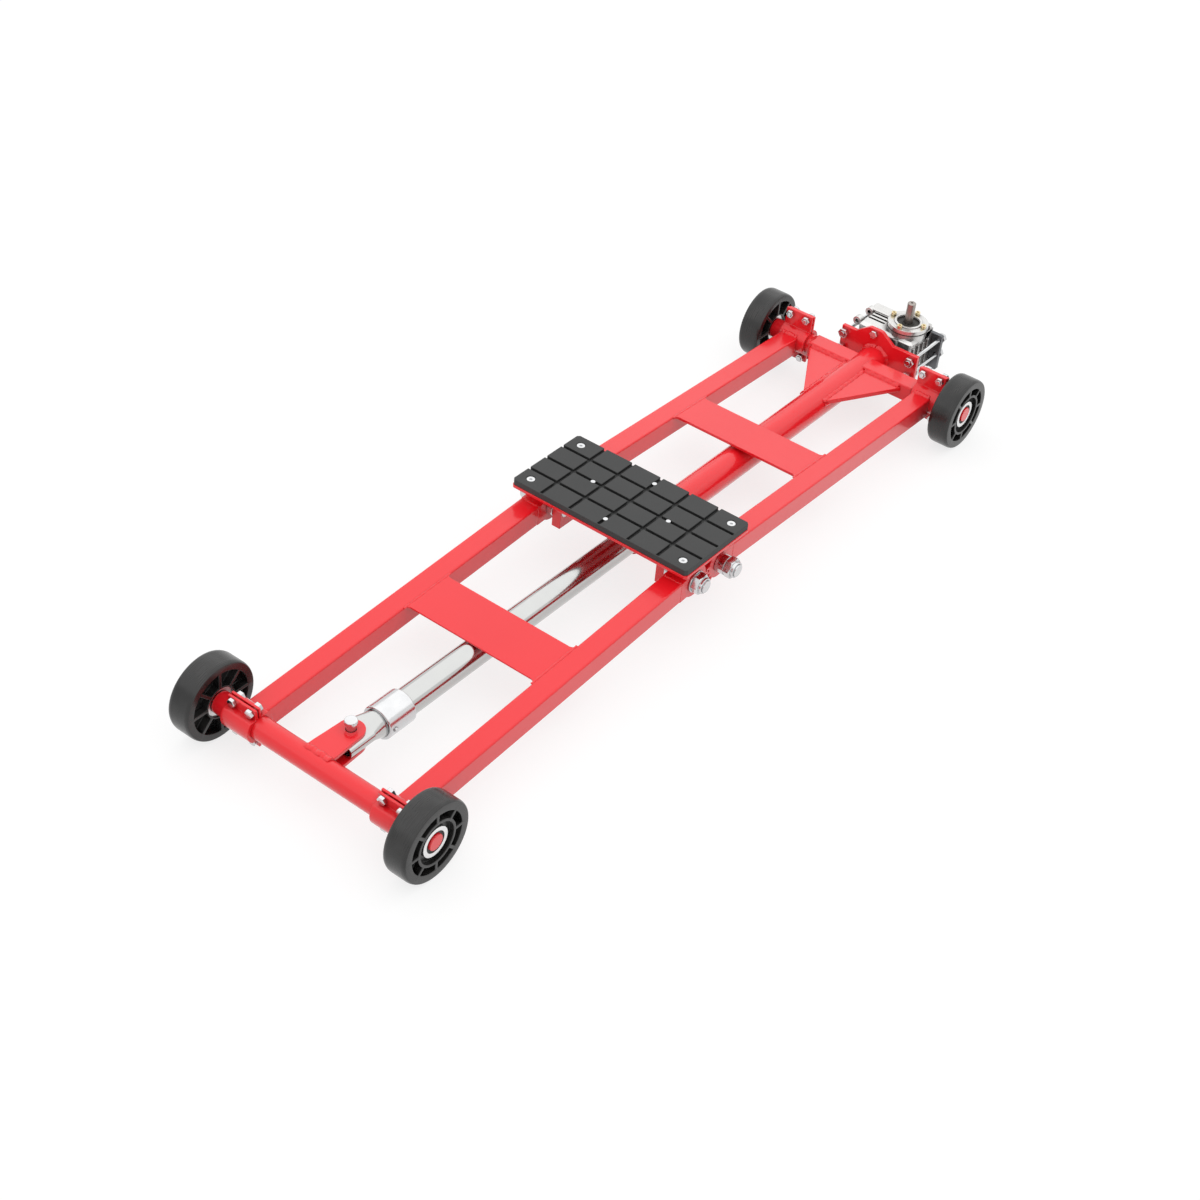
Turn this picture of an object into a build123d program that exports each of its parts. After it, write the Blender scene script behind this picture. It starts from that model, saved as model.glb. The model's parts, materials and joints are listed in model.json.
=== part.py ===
from build123d import *
from dataclasses import dataclass
import math
import os

os.makedirs("parts", exist_ok=True)

# Frame: +X runs from the idle end to the gearbox end, +Y is the left side, the floor is Z = 0,
# and X = 0 is halfway along the whole lift
sides = {"left": 1, "right": -1}

# Fits
fit_gap = 0.05
running_gap = 0.05
side_gap = 0.4
seat_gap = 0.3

# Wheels, bearings and axles
half_wheelbase = 675.0
overall_width = 430.0
wheel_radius = 62.5
wheel_width = 38.6
tread_edge_radius = 7.0
pocket_count = 8
pocket_outer_radius = 48.0
pocket_inner_radius = 36.5
pocket_depth = 13.0
back_pocket_outer_radius = 50.0
back_pocket_inner_radius = 26.0
rib_width = 5.0
recess_radius = 32.0
recess_depth = 8.0
bearing_radius = 23.5
bearing_race_radius = 17.0
bearing_width = 12.0
bearing_inset = 3.0
bearing_web_inset = 3.0
axle_radius = 17.5
axle_step_radius = 15.5
axle_step_length = 1.0
spindle_radius = 13.0
spindle_inset = 1.5
spindle_chamfer = 1.0

# Arms: box-section rails, cross plates and the pivots under the platform
pivot_half_span = 32.0
pivot_height = 82.0
rail_width = 35.0
rail_height = 36.0
rail_wall = 3.0
rail_corner_radius = 3.0
rail_inner_y = 119.0
rail_start = 20.0
rail_end_gap = 6.6
cross_plate_fillet = 8.0

idle_rail_top = 61.5
idle_rail_slope = 0.055
idle_plate_start = 311.4
idle_plate_width = 86.0
idle_plate_thickness = 3.0

gear_rail_top = 74.9
gear_rail_slope = 0.037
gear_plate_start = 306.1
gear_plate_width = 79.5
gear_plate_thickness = 5.0

# Meshing tooth sectors at the arm ends
sector_teeth = 20
sector_addendum = 2.4
sector_dedendum = 4.6
sector_backlash = 0.3
pressure_angle = 20.0
teeth_per_sector = 4
pivot_bolt_radius = 10.0

# Split clamps that turn on the axles
clamp_radius = 24.0
clamp_gap = 2.5
clamp_ear_round = 1.0
clamp_bolt_spacing = 33.0
clamp_bolt_radius = 4.0
clamp_bolt_flats = 13.0
clamp_head_height = 5.5
clamp_nut_height = 6.5
clamp_bolt_tip = 1.5


@dataclass(frozen=True)
class ClampSizes:
    """Sizes of one pair of clamps, with the heights of ears and bolts measured from the axle."""

    length: float
    shift: float
    tilt: float
    ear_thickness: float
    ear_top: float
    ear_bottom: float
    cap_trim: float
    bolt_top: float
    bolt_bottom: float


idle_clamp = ClampSizes(
    length=52.0,
    shift=-8.0,
    tilt=5.0,
    ear_thickness=4.0,
    ear_top=34.0,
    ear_bottom=-34.0,
    cap_trim=0.0,
    bolt_top=26.0,
    bolt_bottom=-26.0,
)
gear_clamp = ClampSizes(
    length=53.0,
    shift=-5.5,
    tilt=0.0,
    ear_thickness=5.0,
    ear_top=54.0,
    ear_bottom=-38.0,
    cap_trim=3.0,
    bolt_top=45.0,
    bolt_bottom=-31.0,
)

# Platform: steel plate, grooved rubber pad, pivot ears
pad_length = 162.0
pad_width = 330.0
pad_thickness = 10.0
pad_offset = 4.0
pad_corner_cut = 4.0
pad_blocks_x = 4
pad_blocks_y = 6
groove_width = 5.5
groove_depth = 5.0
groove_border = 2.0
sector_plate_gap = 6.6
plate_thickness = 5.0
plate_margin = 1.0
ear_thickness = 16.0
ear_half_length = 46.0
ear_drop = 27.0
ear_spacer_length = 11.0
pad_screw_x = 61.6
pad_screw_y = 144.5
pad_screw_recess_radius = 7.6
pad_screw_recess = 0.8
pad_screw_head_radius = 7.0
pad_screw_radius = 4.0
pad_screw_angle = 90.0
pad_screw_socket = 4.0
pad_screw_socket_depth = 2.0
groove_screw_x = 61.5
groove_screw_y = 72.0
groove_screw_head_radius = 4.0
groove_screw_head_height = 4.5
groove_screw_radius = 2.5

# Pivot studs, lock nuts, washers and collars
pivot_bolt_flats = 30.0
pivot_nut_height = 16.0
nut_collar_height = 4.5
nut_collar_radius = 13.0
pivot_washer_radius = 18.0
pivot_washer_thickness = 3.0
pivot_collar_radius = 16.0
pivot_collar_length = 15.5
pivot_bolt_tip = 2.5
hex_chamfer_angle = 30.0

# Telescopic screw tube and push tube
screw_height = 53.5
screw_tube_radius = 26.0
screw_tube_wall = 2.5
screw_tube_mouth = 10.0
push_tube_radius = 21.5
push_tube_wall = 3.0
push_tube_inner_end = 150.0
guide_bush_length = 40.0
screw_radius = 12.0
screw_free_end = 90.0
screw_journal_radius = 10.0
drive_nut_length = 50.0
thrust_bearing_length = 25.0
sleeve_radius = 26.5
sleeve_start = 119.0
sleeve_length = 52.0
sleeve_chamfer = 1.5
sleeve_pin_radius = 3.5
sleeve_pin_inset = 9.0
sleeve_pin_proud = 3.0

# Flattened tongue, clevis ears and pin
tongue_width = 50.0
tongue_height = 20.0
tongue_top = 73.0
tongue_end = 43.0
tongue_nose_gap = 2.0
clevis_pin_offset = 68.0
clevis_nose_radius = 20.0
clevis_base_half_width = 23.0
clevis_ear_thickness = 6.0
clevis_pin_radius = 7.25
clevis_hole_clearance = 0.4
clevis_pin_head_radius = 9.5
clevis_pin_head_height = 7.0
clevis_pin_rise = 9.5
clevis_pin_tail = 6.0

# Box-shaped middle of the gear axle, and the gussets between it and the screw tube
beam_top = 76.0
beam_height = 30.0
beam_end = 97.0
beam_corner_radius = 3.0
gusset_top = 70.0
gusset_thickness = 8.0
gusset_length = 163.0
gusset_half_width = 94.0

# Gearbox end: flange, adapter, housing, rear plate, tie studs
flange_setback = 50.0
flange_thickness = 8.0
flange_left = 73.0
flange_right = -82.0
flange_top = 93.0
flange_bottom = 20.0
hump_center = 7.0
hump_half_base = 38.0
hump_half_top = 13.0
hump_top = 111.5
hump_round = 10.0
flange_bolt_y = 8.0
flange_bolt_z = 102.0
adapter_thickness = 3.0
adapter_margin = 2.0
adapter_corner = 3.0
stud_center_y = -1.5
stud_half_spacing_y = 68.0
stud_center_z = 65.5
stud_half_spacing_z = 15.0
stud_radius = 5.0
tie_nut_flats = 16.0
tie_nut_height = 8.0
stud_projection = 2.0
rear_plate_top = 91.0
rear_plate_right = -76.0
rear_plate_thickness = 8.0
rear_plate_corner = 2.0

housing_length = 84.0
housing_inset = 10.0
housing_left = 53.5
housing_right = -56.0
housing_top = 100.0
housing_bottom = 16.0
housing_corner = 6.0
bearing_boss_radius = 34.0
worm_offset = 24.0
worm_shift = 4.0
worm_boss_radius = 34.0
worm_boss_top = 108.0
worm_boss_depth = 20.0
front_rib_radius = 5.0
front_rib_top = 97.0
foot_boss_radius = 24.0
foot_boss_height = 4.0
front_bevel = 5.0
rear_block_offset = 17.0
rear_block_left = 61.0
rear_block_top = 102.0
slot_count = 3
slot_pitch = 10.0
slot_width = 5.0
slot_depth = 8.0
slot_offset = -1.25
slot_wall = 5.0
side_rib_count = 4
side_rib_pitch = 16.0
side_rib_thickness = 5.0
side_rib_length = 68.0
side_rib_rise = 3.5
lug_radius = 8.0
lug_hole_radius = 3.5
lug_length = 12.0
lug_y = 60.0
lug_z = 95.0
lug_offset = -0.25
lug_half_spacing = 20.5
peg_radius = 5.0
peg_rise = 6.0
peg_inset = 6.0
peg_y = -50.0

cover_radius = 36.0
cover_thickness = 9.0
cover_screw_circle = 30.5
cover_screw_radius = 2.5
cover_screw_head_radius = 4.5
cover_screw_head_height = 6.0
cover_screw_socket = 4.0
cover_screw_socket_depth = 3.0
seal_radius = 20.0
seal_thickness = 4.0
seal_recess = 3.0
shaft_radius = 7.5
shaft_seat_radius = 8.0
shaft_rise = 38.0
shaft_chamfer = 1.5
center_hole_radius = 2.0
center_hole_depth = 4.0
worm_radius = 9.0
worm_length = 40.0
worm_wheel_radius = 14.5
worm_wheel_width = 22.0
housing_clearance = 2.0
foot_wall = 6.0

# Stations along X and heights that follow from the sizes above
flange_front = half_wheelbase + flange_setback
adapter_front = flange_front + flange_thickness
housing_front = adapter_front + adapter_thickness
rear_plate_front = housing_front + housing_length
rear_plate_back = rear_plate_front + rear_plate_thickness
gearbox_end = rear_plate_back + tie_nut_height + stud_projection
mid_x = (half_wheelbase + wheel_radius - gearbox_end) / 2
idle_x = mid_x - half_wheelbase
gear_x = mid_x + half_wheelbase
axle_z = wheel_radius
wheel_outer_y = overall_width / 2
wheel_center_y = wheel_outer_y - wheel_width / 2
inner_bearing_y = wheel_outer_y - wheel_width + bearing_inset
axle_step_end = inner_bearing_y - seat_gap
axle_shoulder_y = axle_step_end - axle_step_length
spindle_end_y = wheel_outer_y - spindle_inset
rail_center_y = rail_inner_y + rail_width / 2
rail_outer_y = rail_inner_y + rail_width
arm_reach = half_wheelbase - pivot_half_span
sector_root_radius = pivot_half_span - sector_dedendum
rail_end_to_pivot = sector_root_radius + rail_end_gap
plate_bottom = pivot_height + sector_root_radius + sector_plate_gap
plate_top = plate_bottom + plate_thickness
pad_top = plate_top + pad_thickness
pad_x = mid_x + pad_offset
ear_outer_y = rail_inner_y - side_gap - ear_spacer_length
ear_inner_y = ear_outer_y - ear_thickness
ear_bottom = pivot_height - ear_drop
saddle_half_width = math.sqrt(screw_tube_radius**2 - (beam_top - screw_height) ** 2)
axle_half_start = saddle_half_width - seat_gap
housing_center_x = mid_x + housing_front + housing_length / 2
worm_x = housing_center_x + worm_shift
cover_top = worm_boss_top + cover_thickness
shaft_top = cover_top + shaft_rise


def across(x, y, z):
    """Plane at a point with its normal along -Y, its X along world X and its Y along world Z."""
    return Plane(origin=(x, y, z), x_dir=(1, 0, 0), z_dir=(0, -1, 0))


def along(x, y, z):
    """Plane at a point with its normal along +X, its X along world Y and its Y along world Z."""
    return Plane(origin=(x, y, z), x_dir=(0, 1, 0), z_dir=(1, 0, 0))


def save(piece, name):
    """Label a finished piece and write it under its own name."""
    piece.part.label = name
    export_step(piece.part, f"parts/{name}.step")


def hex_prism(plane, flats, height):
    """Add a hexagon prism that rises along the plane's normal."""
    with BuildSketch(plane) as hexagon:
        RegularPolygon(flats / 2, 6, major_radius=False)
    extrude(hexagon.sketch, amount=height)


def round_bar(plane, radius, length, mode=Mode.ADD):
    """Add or cut a round bar that runs along the plane's normal."""
    with BuildSketch(plane) as disc:
        Circle(radius)
    extrude(disc.sketch, amount=length, mode=mode)


def ring(plane, outer_radius, inner_radius, length):
    """Add a ring that runs along the plane's normal."""
    with BuildSketch(plane) as annulus:
        Circle(outer_radius)
        Circle(inner_radius, mode=Mode.SUBTRACT)
    extrude(annulus.sketch, amount=length)


def build_wheel(name, x, side):
    """Nylon wheel with pockets on both faces and a hub recess outside, and its pair of bearings."""
    center = across(x, side * wheel_center_y, axle_z)
    with BuildPart() as wheel:
        with BuildSketch(center):
            Circle(wheel_radius)
        extrude(amount=wheel_width / 2, both=True)
        fillet(wheel.edges().filter_by(GeomType.CIRCLE), tread_edge_radius)
        for way, outer, inner in (
            (-side, pocket_outer_radius, pocket_inner_radius),
            (side, back_pocket_outer_radius, back_pocket_inner_radius),
        ):
            with BuildSketch(center.offset(way * wheel_width / 2)):
                Circle(outer)
                Circle(inner, mode=Mode.SUBTRACT)
                with PolarLocations((outer + inner) / 2, pocket_count):
                    Rectangle(outer, rib_width, mode=Mode.SUBTRACT)
            extrude(amount=-way * pocket_depth, mode=Mode.SUBTRACT)
        round_bar(center.offset(-side * wheel_width / 2), recess_radius, side * recess_depth, Mode.SUBTRACT)
        with BuildSketch(center):
            Circle(bearing_radius + fit_gap)
        extrude(amount=wheel_width / 2, both=True, mode=Mode.SUBTRACT)
    save(wheel, f"wheel_{name}")

    with BuildPart() as bearings:
        bearing_offset = wheel_width / 2 - bearing_inset - bearing_width / 2
        for way in (1, -1):
            with BuildSketch(center.offset(way * bearing_offset)):
                Circle(bearing_radius)
                Circle(bearing_race_radius, mode=Mode.SUBTRACT)
            extrude(amount=bearing_width / 2, both=True)
            with BuildSketch(center.offset(way * bearing_offset)):
                Circle(bearing_race_radius)
                Circle(spindle_radius + running_gap, mode=Mode.SUBTRACT)
            extrude(amount=bearing_width / 2 - bearing_web_inset, both=True)
    save(bearings, f"bearings_{name}")


def axle_stub(x, side, start_y):
    """Add the axle from a start distance out to the spindle end on one side."""
    out = Plane(origin=(x, side * start_y, axle_z), x_dir=(1, 0, 0), z_dir=(0, side, 0))
    round_bar(out, axle_radius, axle_shoulder_y - start_y)
    round_bar(out, axle_step_radius, axle_step_end - start_y)
    round_bar(out, spindle_radius, spindle_end_y - start_y)


def tooth_half_angle(radius):
    """Half the angle, in radians, that an involute sector tooth spans at a radius."""
    pitch_half = math.pi / (2 * sector_teeth) - sector_backlash / (4 * pivot_half_span)
    base_radius = pivot_half_span * math.cos(math.radians(pressure_angle))
    roll = math.acos(min(1.0, base_radius / radius))
    pitch_roll = math.radians(pressure_angle)
    return pitch_half + (math.tan(pitch_roll) - pitch_roll) - (math.tan(roll) - roll)


def polar(radius, angle):
    """Point at a radius and an angle in radians."""
    return (radius * math.cos(angle), radius * math.sin(angle))


def sector_tooth(center_angle, root_radius):
    """Add one involute tooth to the open sketch, about the sketch origin."""
    base_radius = pivot_half_span * math.cos(math.radians(pressure_angle))
    tip_radius = pivot_half_span + sector_addendum
    radii = (base_radius, pivot_half_span, tip_radius)
    rising = [polar(radius, center_angle - tooth_half_angle(radius)) for radius in radii]
    falling = [polar(radius, center_angle + tooth_half_angle(radius)) for radius in reversed(radii)]
    root_half = tooth_half_angle(base_radius)
    root_start = polar(root_radius - sector_addendum, center_angle - root_half)
    root_finish = polar(root_radius - sector_addendum, center_angle + root_half)
    with BuildLine() as outline:
        Line(root_start, rising[0])
        ThreePointArc(*rising)
        Line(rising[-1], falling[0])
        ThreePointArc(*falling)
        Line(falling[-1], root_finish)
        Line(root_finish, root_start)
    make_face(outline.edges())


def clamp_section(axle_x, side, way, clamp):
    """Plane across a clamp's axle, with its X towards the rail and its Y up along the ears."""
    tilt = math.radians(clamp.tilt)
    return Plane(
        origin=(axle_x, side * rail_center_y + clamp.shift, axle_z),
        x_dir=(way * math.cos(tilt), 0, math.sin(tilt)),
        z_dir=(0, -way, 0),
    )


def clamp_split(section):
    """Plane in a clamp's split, with its normal towards the rail and its Y up along the ears."""
    return Plane(origin=section.origin, x_dir=-section.z_dir, z_dir=section.x_dir)


def clamp_bolt_places(clamp):
    """Places of a clamp's four bolts in the plane of its split."""
    heights = (clamp.bolt_top, clamp.bolt_bottom)
    return [(sign * clamp_bolt_spacing / 2, height) for sign in (-1, 1) for height in heights]


def build_clamp_half(section, clamp, half, trim):
    """Add one half of a split clamp, with flats for its bolts.

    The half is 1 on the rail's side and -1 for the cap, and the trim shortens both of its ears.
    """
    far = 2 * clamp.ear_top
    ear_face = clamp_gap / 2 + clamp.ear_thickness
    ear_middle = (clamp.ear_top + clamp.ear_bottom) / 2
    ear_height = clamp.ear_top - clamp.ear_bottom - 2 * trim
    flat_half = clamp_bolt_flats / math.sqrt(3) + seat_gap
    with BuildSketch(section) as shell:
        Circle(clamp_radius)
        with Locations((half * (clamp_gap + clamp.ear_thickness) / 2, ear_middle)):
            RectangleRounded(clamp.ear_thickness, ear_height, clamp_ear_round)
        Circle(axle_radius + running_gap, mode=Mode.SUBTRACT)
        with Locations((half * (clamp_gap - far) / 2, 0)):
            Rectangle(far, 2 * far, mode=Mode.SUBTRACT)
        for inner in (clamp.bolt_top - flat_half + far / 2, clamp.bolt_bottom + flat_half - far / 2):
            with Locations((half * (ear_face + far / 2), inner)):
                Rectangle(far, far, mode=Mode.SUBTRACT)
    extrude(shell.sketch, amount=clamp.length / 2, both=True)
    with BuildSketch(clamp_split(section)) as bolt_holes:
        with Locations(*clamp_bolt_places(clamp)):
            Circle(clamp_bolt_radius + fit_gap)
    extrude(bolt_holes.sketch, amount=half * far, mode=Mode.SUBTRACT)


def build_arms(name, axle_x, way, clamp, rail_top, rail_slope, cross_plate_sizes, first_tooth):
    """One pair of arms: rails, cross plate, tooth sectors, and the clamps with their bolts and nuts.

    The way is the sign of X from the axle towards the platform, the cross plate's sizes are its
    distance from the axle, its width and its thickness, and the first tooth is the angle of the
    topmost tooth above the line through both pivots.
    """
    cross_start, cross_width, cross_thickness = cross_plate_sizes
    pivot_x = axle_x + way * arm_reach
    rail_finish = arm_reach - rail_end_to_pivot

    def top_point(distance, below=0.0):
        """Point on the arm's side view, at a distance from the axle and a depth under the rail's top."""
        return (way * distance, rail_top - axle_z + rail_slope * distance - below)

    for side_name, side in sides.items():
        rail_plane = across(axle_x, side * rail_center_y, axle_z)
        with BuildPart() as rail:
            with BuildSketch(rail_plane):
                with BuildLine():
                    Polyline(
                        top_point(rail_start),
                        top_point(rail_finish),
                        top_point(rail_finish, rail_height),
                        top_point(rail_start, rail_height),
                        close=True,
                    )
                make_face()
            extrude(amount=rail_width / 2, both=True)
            fillet(rail.edges().group_by(SortBy.LENGTH)[-1], rail_corner_radius)
            with BuildSketch(rail_plane):
                with BuildLine():
                    Polyline(
                        top_point(0, rail_wall),
                        top_point(arm_reach, rail_wall),
                        top_point(arm_reach, rail_height - rail_wall),
                        top_point(0, rail_height - rail_wall),
                        close=True,
                    )
                make_face()
            extrude(amount=rail_width / 2 - rail_wall, both=True, mode=Mode.SUBTRACT)
            with BuildSketch(rail_plane):
                Circle(clamp_radius)
            extrude(amount=rail_width, both=True, mode=Mode.SUBTRACT)
        save(rail, f"rail_{name}_{side_name}")

        block_rise = axle_z - pivot_height
        with BuildPart() as sector:
            with BuildSketch(across(pivot_x, side * rail_center_y, pivot_height)):
                with BuildLine():
                    Polyline(
                        (-way * rail_end_to_pivot, top_point(rail_finish)[1] + block_rise),
                        (0, top_point(arm_reach)[1] + block_rise),
                        (0, top_point(arm_reach, rail_height)[1] + block_rise),
                        (-way * rail_end_to_pivot, top_point(rail_finish, rail_height)[1] + block_rise),
                        close=True,
                    )
                make_face()
                Circle(sector_root_radius)
                for index in range(teeth_per_sector):
                    rise = math.radians(first_tooth - index * 360 / sector_teeth)
                    angle = rise if way > 0 else math.pi - rise
                    sector_tooth(angle, sector_root_radius)
                Circle(pivot_bolt_radius + running_gap, mode=Mode.SUBTRACT)
            extrude(amount=rail_width / 2, both=True)
        save(sector, f"tooth_sector_{name}_{side_name}")

        with BuildPart() as clamp_base:
            build_clamp_half(clamp_section(axle_x, side, way, clamp), clamp, 1, 0)
        save(clamp_base, f"clamp_{name}_{side_name}")

    cross_finish = cross_start + cross_width
    with BuildPart() as cross_plate:
        with BuildSketch(across(axle_x, 0, axle_z)):
            with BuildLine():
                Polyline(
                    top_point(cross_start - cross_plate_fillet),
                    top_point(cross_finish + cross_plate_fillet),
                    top_point(cross_finish + cross_plate_fillet, cross_thickness),
                    top_point(cross_start - cross_plate_fillet, cross_thickness),
                    close=True,
                )
            make_face()
        extrude(amount=rail_inner_y, both=True)
        with BuildSketch(Plane(origin=(axle_x + way * (cross_start + cross_finish) / 2, 0, 0))):
            straight = 2 * (rail_inner_y - cross_plate_fillet)
            with GridLocations(cross_width + cross_plate_fillet, 0, 2, 1):
                Rectangle(cross_plate_fillet, straight)
            with GridLocations(cross_width + 2 * cross_plate_fillet, straight, 2, 2):
                Circle(cross_plate_fillet)
        extrude(amount=pivot_height + cross_width, mode=Mode.SUBTRACT)
    save(cross_plate, f"cross_plate_{name}")

    with BuildPart() as caps:
        for side in sides.values():
            build_clamp_half(clamp_section(axle_x, side, way, clamp), clamp, -1, clamp.cap_trim)
    save(caps, f"clamp_caps_{name}")

    grip = clamp_gap + 2 * clamp.ear_thickness
    with BuildPart() as bolts:
        for side in sides.values():
            split = clamp_split(clamp_section(axle_x, side, way, clamp))
            for place_y, place_z in clamp_bolt_places(clamp):
                head_seat = split.from_local_coords((place_y, place_z, -grip / 2))
                seat = Plane(origin=head_seat, x_dir=split.x_dir, z_dir=split.z_dir)
                round_bar(seat, clamp_bolt_radius, grip + clamp_nut_height + clamp_bolt_tip)
                hex_prism(seat, clamp_bolt_flats, -clamp_head_height)
                with BuildSketch(seat.offset(grip)):
                    RegularPolygon(clamp_bolt_flats / 2, 6, major_radius=False)
                    Circle(clamp_bolt_radius + fit_gap, mode=Mode.SUBTRACT)
                extrude(amount=clamp_nut_height)
    save(bolts, f"clamp_bolts_{name}")


def turn_off_corners(plane, flats, height):
    """Cut the far corners of a hexagon that rises along the plane's normal, as a lathe would."""
    reach = flats
    drop = (reach - flats / 2) * math.tan(math.radians(hex_chamfer_angle))
    profile = Plane(origin=plane.origin, x_dir=plane.x_dir, z_dir=-plane.y_dir)
    with BuildSketch(profile) as corner:
        with BuildLine():
            Polyline((flats / 2, height), (reach, height), (reach, height - drop), close=True)
        make_face()
    revolve(corner.sketch, axis=Axis(plane.origin, plane.z_dir), mode=Mode.SUBTRACT)


# Four wheels with their bearings
for end_name, end_x in (("idle", idle_x), ("gear", gear_x)):
    for side_name, side in sides.items():
        build_wheel(f"{end_name}_{side_name}", end_x, side)

# Idle axle, one bar from spindle to spindle
with BuildPart() as idle_axle:
    for side in sides.values():
        axle_stub(idle_x, side, 0)
    tips = idle_axle.edges().filter_by(GeomType.CIRCLE).group_by(Axis.Y)
    chamfer(tips[0] + tips[-1], spindle_chamfer)
save(idle_axle, "axle_idle")

# Gear axle in two halves, each a box beam saddled to the screw tube with a round stub outside
for side_name, side in sides.items():
    with BuildPart() as gear_axle:
        axle_stub(gear_x, side, beam_end)
        tips = gear_axle.edges().filter_by(GeomType.CIRCLE).group_by(Axis.Y)
        chamfer(tips[-1] if side > 0 else tips[0], spindle_chamfer)
        beam_origin = (gear_x, side * axle_half_start, beam_top - beam_height / 2)
        with BuildSketch(Plane(origin=beam_origin, x_dir=(1, 0, 0), z_dir=(0, side, 0))):
            RectangleRounded(2 * axle_radius, beam_height, beam_corner_radius)
        extrude(amount=beam_end - axle_half_start)
        with BuildSketch(along(gear_x, 0, screw_height)):
            Circle(screw_tube_radius)
        extrude(amount=half_wheelbase, both=True, mode=Mode.SUBTRACT)
    save(gear_axle, f"axle_gear_{side_name}")

# Both pairs of arms, with their teeth a half pitch apart so that they mesh
quarter_pitch = 360 / sector_teeth / 4
idle_plate_sizes = (idle_plate_start, idle_plate_width, idle_plate_thickness)
gear_plate_sizes = (gear_plate_start, gear_plate_width, gear_plate_thickness)
build_arms("idle", idle_x, 1, idle_clamp, idle_rail_top, idle_rail_slope, idle_plate_sizes, -quarter_pitch)
build_arms("gear", gear_x, -1, gear_clamp, gear_rail_top, gear_rail_slope, gear_plate_sizes, quarter_pitch)


# Platform plate under the rubber pad
groove_screw_places = [(groove_screw_x, 0), (-groove_screw_x, 0), (0, groove_screw_y), (0, -groove_screw_y)]
with BuildPart() as platform_plate:
    with BuildSketch(Plane.XY.offset(plate_bottom)):
        with Locations((pad_x, 0)):
            Rectangle(pad_length + 2 * plate_margin, pad_width + 2 * plate_margin)
        chamfer(vertices(), pad_corner_cut)
    extrude(amount=plate_thickness)
    with BuildSketch(Plane.XY.offset(plate_bottom)):
        with Locations((pad_x, 0)):
            with GridLocations(2 * pad_screw_x, 2 * pad_screw_y, 2, 2):
                Circle(pad_screw_radius + fit_gap)
            with Locations(*groove_screw_places):
                Circle(groove_screw_radius + fit_gap)
    extrude(amount=plate_thickness, mode=Mode.SUBTRACT)
save(platform_plate, "platform_plate")

# Rubber pad with crossing grooves that run out at the left and gearbox edges
with BuildPart() as rubber_pad:
    with BuildSketch(Plane.XY.offset(plate_top)):
        with Locations((pad_x, 0)):
            Rectangle(pad_length, pad_width)
        chamfer(vertices(), pad_corner_cut)
    extrude(amount=pad_thickness)
    with BuildSketch(Plane.XY.offset(pad_top)):
        with Locations((pad_x, groove_border)):
            with GridLocations(pad_length / pad_blocks_x, 0, pad_blocks_x - 1, 1):
                Rectangle(groove_width, pad_width)
        with Locations((pad_x + groove_border, 0)):
            with GridLocations(0, pad_width / pad_blocks_y, 1, pad_blocks_y - 1):
                Rectangle(pad_length, groove_width)
    extrude(amount=-groove_depth, mode=Mode.SUBTRACT)
    with BuildSketch(Plane.XY.offset(pad_top)):
        with Locations((pad_x, 0)):
            with GridLocations(2 * pad_screw_x, 2 * pad_screw_y, 2, 2):
                Circle(pad_screw_recess_radius)
    extrude(amount=-pad_screw_recess, mode=Mode.SUBTRACT)
    with Locations(Plane.XY.offset(pad_top - pad_screw_recess)):
        with Locations((pad_x, 0)):
            with GridLocations(2 * pad_screw_x, 2 * pad_screw_y, 2, 2):
                CounterSinkHole(
                    pad_screw_radius + fit_gap,
                    pad_screw_head_radius + fit_gap,
                    pad_thickness,
                    pad_screw_angle,
                )
    with Locations(Plane.XY.offset(pad_top)):
        with Locations((pad_x, 0)):
            with Locations(*groove_screw_places):
                CounterBoreHole(
                    groove_screw_radius + fit_gap,
                    groove_screw_head_radius + fit_gap,
                    groove_depth,
                    pad_thickness,
                )
save(rubber_pad, "rubber_pad")

# Countersunk screws in the pad's corners and small cylinder-head screws in its grooves
with BuildPart() as pad_screws:
    cone_height = (pad_screw_head_radius - pad_screw_radius) / math.tan(math.radians(pad_screw_angle / 2))
    head_top = pad_top - pad_screw_recess
    for sign_x in (-1, 1):
        for sign_y in (-1, 1):
            spot = Plane(origin=(pad_x + sign_x * pad_screw_x, sign_y * pad_screw_y, head_top))
            with BuildSketch(Plane(origin=spot.origin, x_dir=(1, 0, 0), z_dir=(0, -1, 0))):
                with BuildLine():
                    Polyline(
                        (0, 0),
                        (pad_screw_head_radius, 0),
                        (pad_screw_radius, -cone_height),
                        (pad_screw_radius, plate_bottom - head_top),
                        (0, plate_bottom - head_top),
                        close=True,
                    )
                make_face()
            revolve(axis=Axis(spot.origin, (0, 0, 1)))
            with BuildSketch(spot):
                RegularPolygon(pad_screw_socket / 2, 6, major_radius=False)
            extrude(amount=-pad_screw_socket_depth, mode=Mode.SUBTRACT)
    groove_floor = pad_top - groove_depth
    for spot_x, spot_y in groove_screw_places:
        spot = Plane(origin=(pad_x + spot_x, spot_y, groove_floor))
        round_bar(spot, groove_screw_head_radius, groove_screw_head_height)
        round_bar(spot, groove_screw_radius, plate_bottom - groove_floor)
save(pad_screws, "pad_screws")

# Pivot ears welded under the plate, one inside each pair of rails
for side_name, side in sides.items():
    with BuildPart() as pivot_ear:
        with BuildSketch(across(mid_x, side * (ear_inner_y + ear_outer_y) / 2, pivot_height)):
            with Locations((0, (plate_bottom + ear_bottom) / 2 - pivot_height)):
                Rectangle(2 * ear_half_length, plate_bottom - ear_bottom)
            with GridLocations(2 * pivot_half_span, 0, 2, 1):
                Circle(pivot_bolt_radius + fit_gap, mode=Mode.SUBTRACT)
        extrude(amount=ear_thickness / 2, both=True)
    save(pivot_ear, f"pivot_ear_{side_name}")

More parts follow.
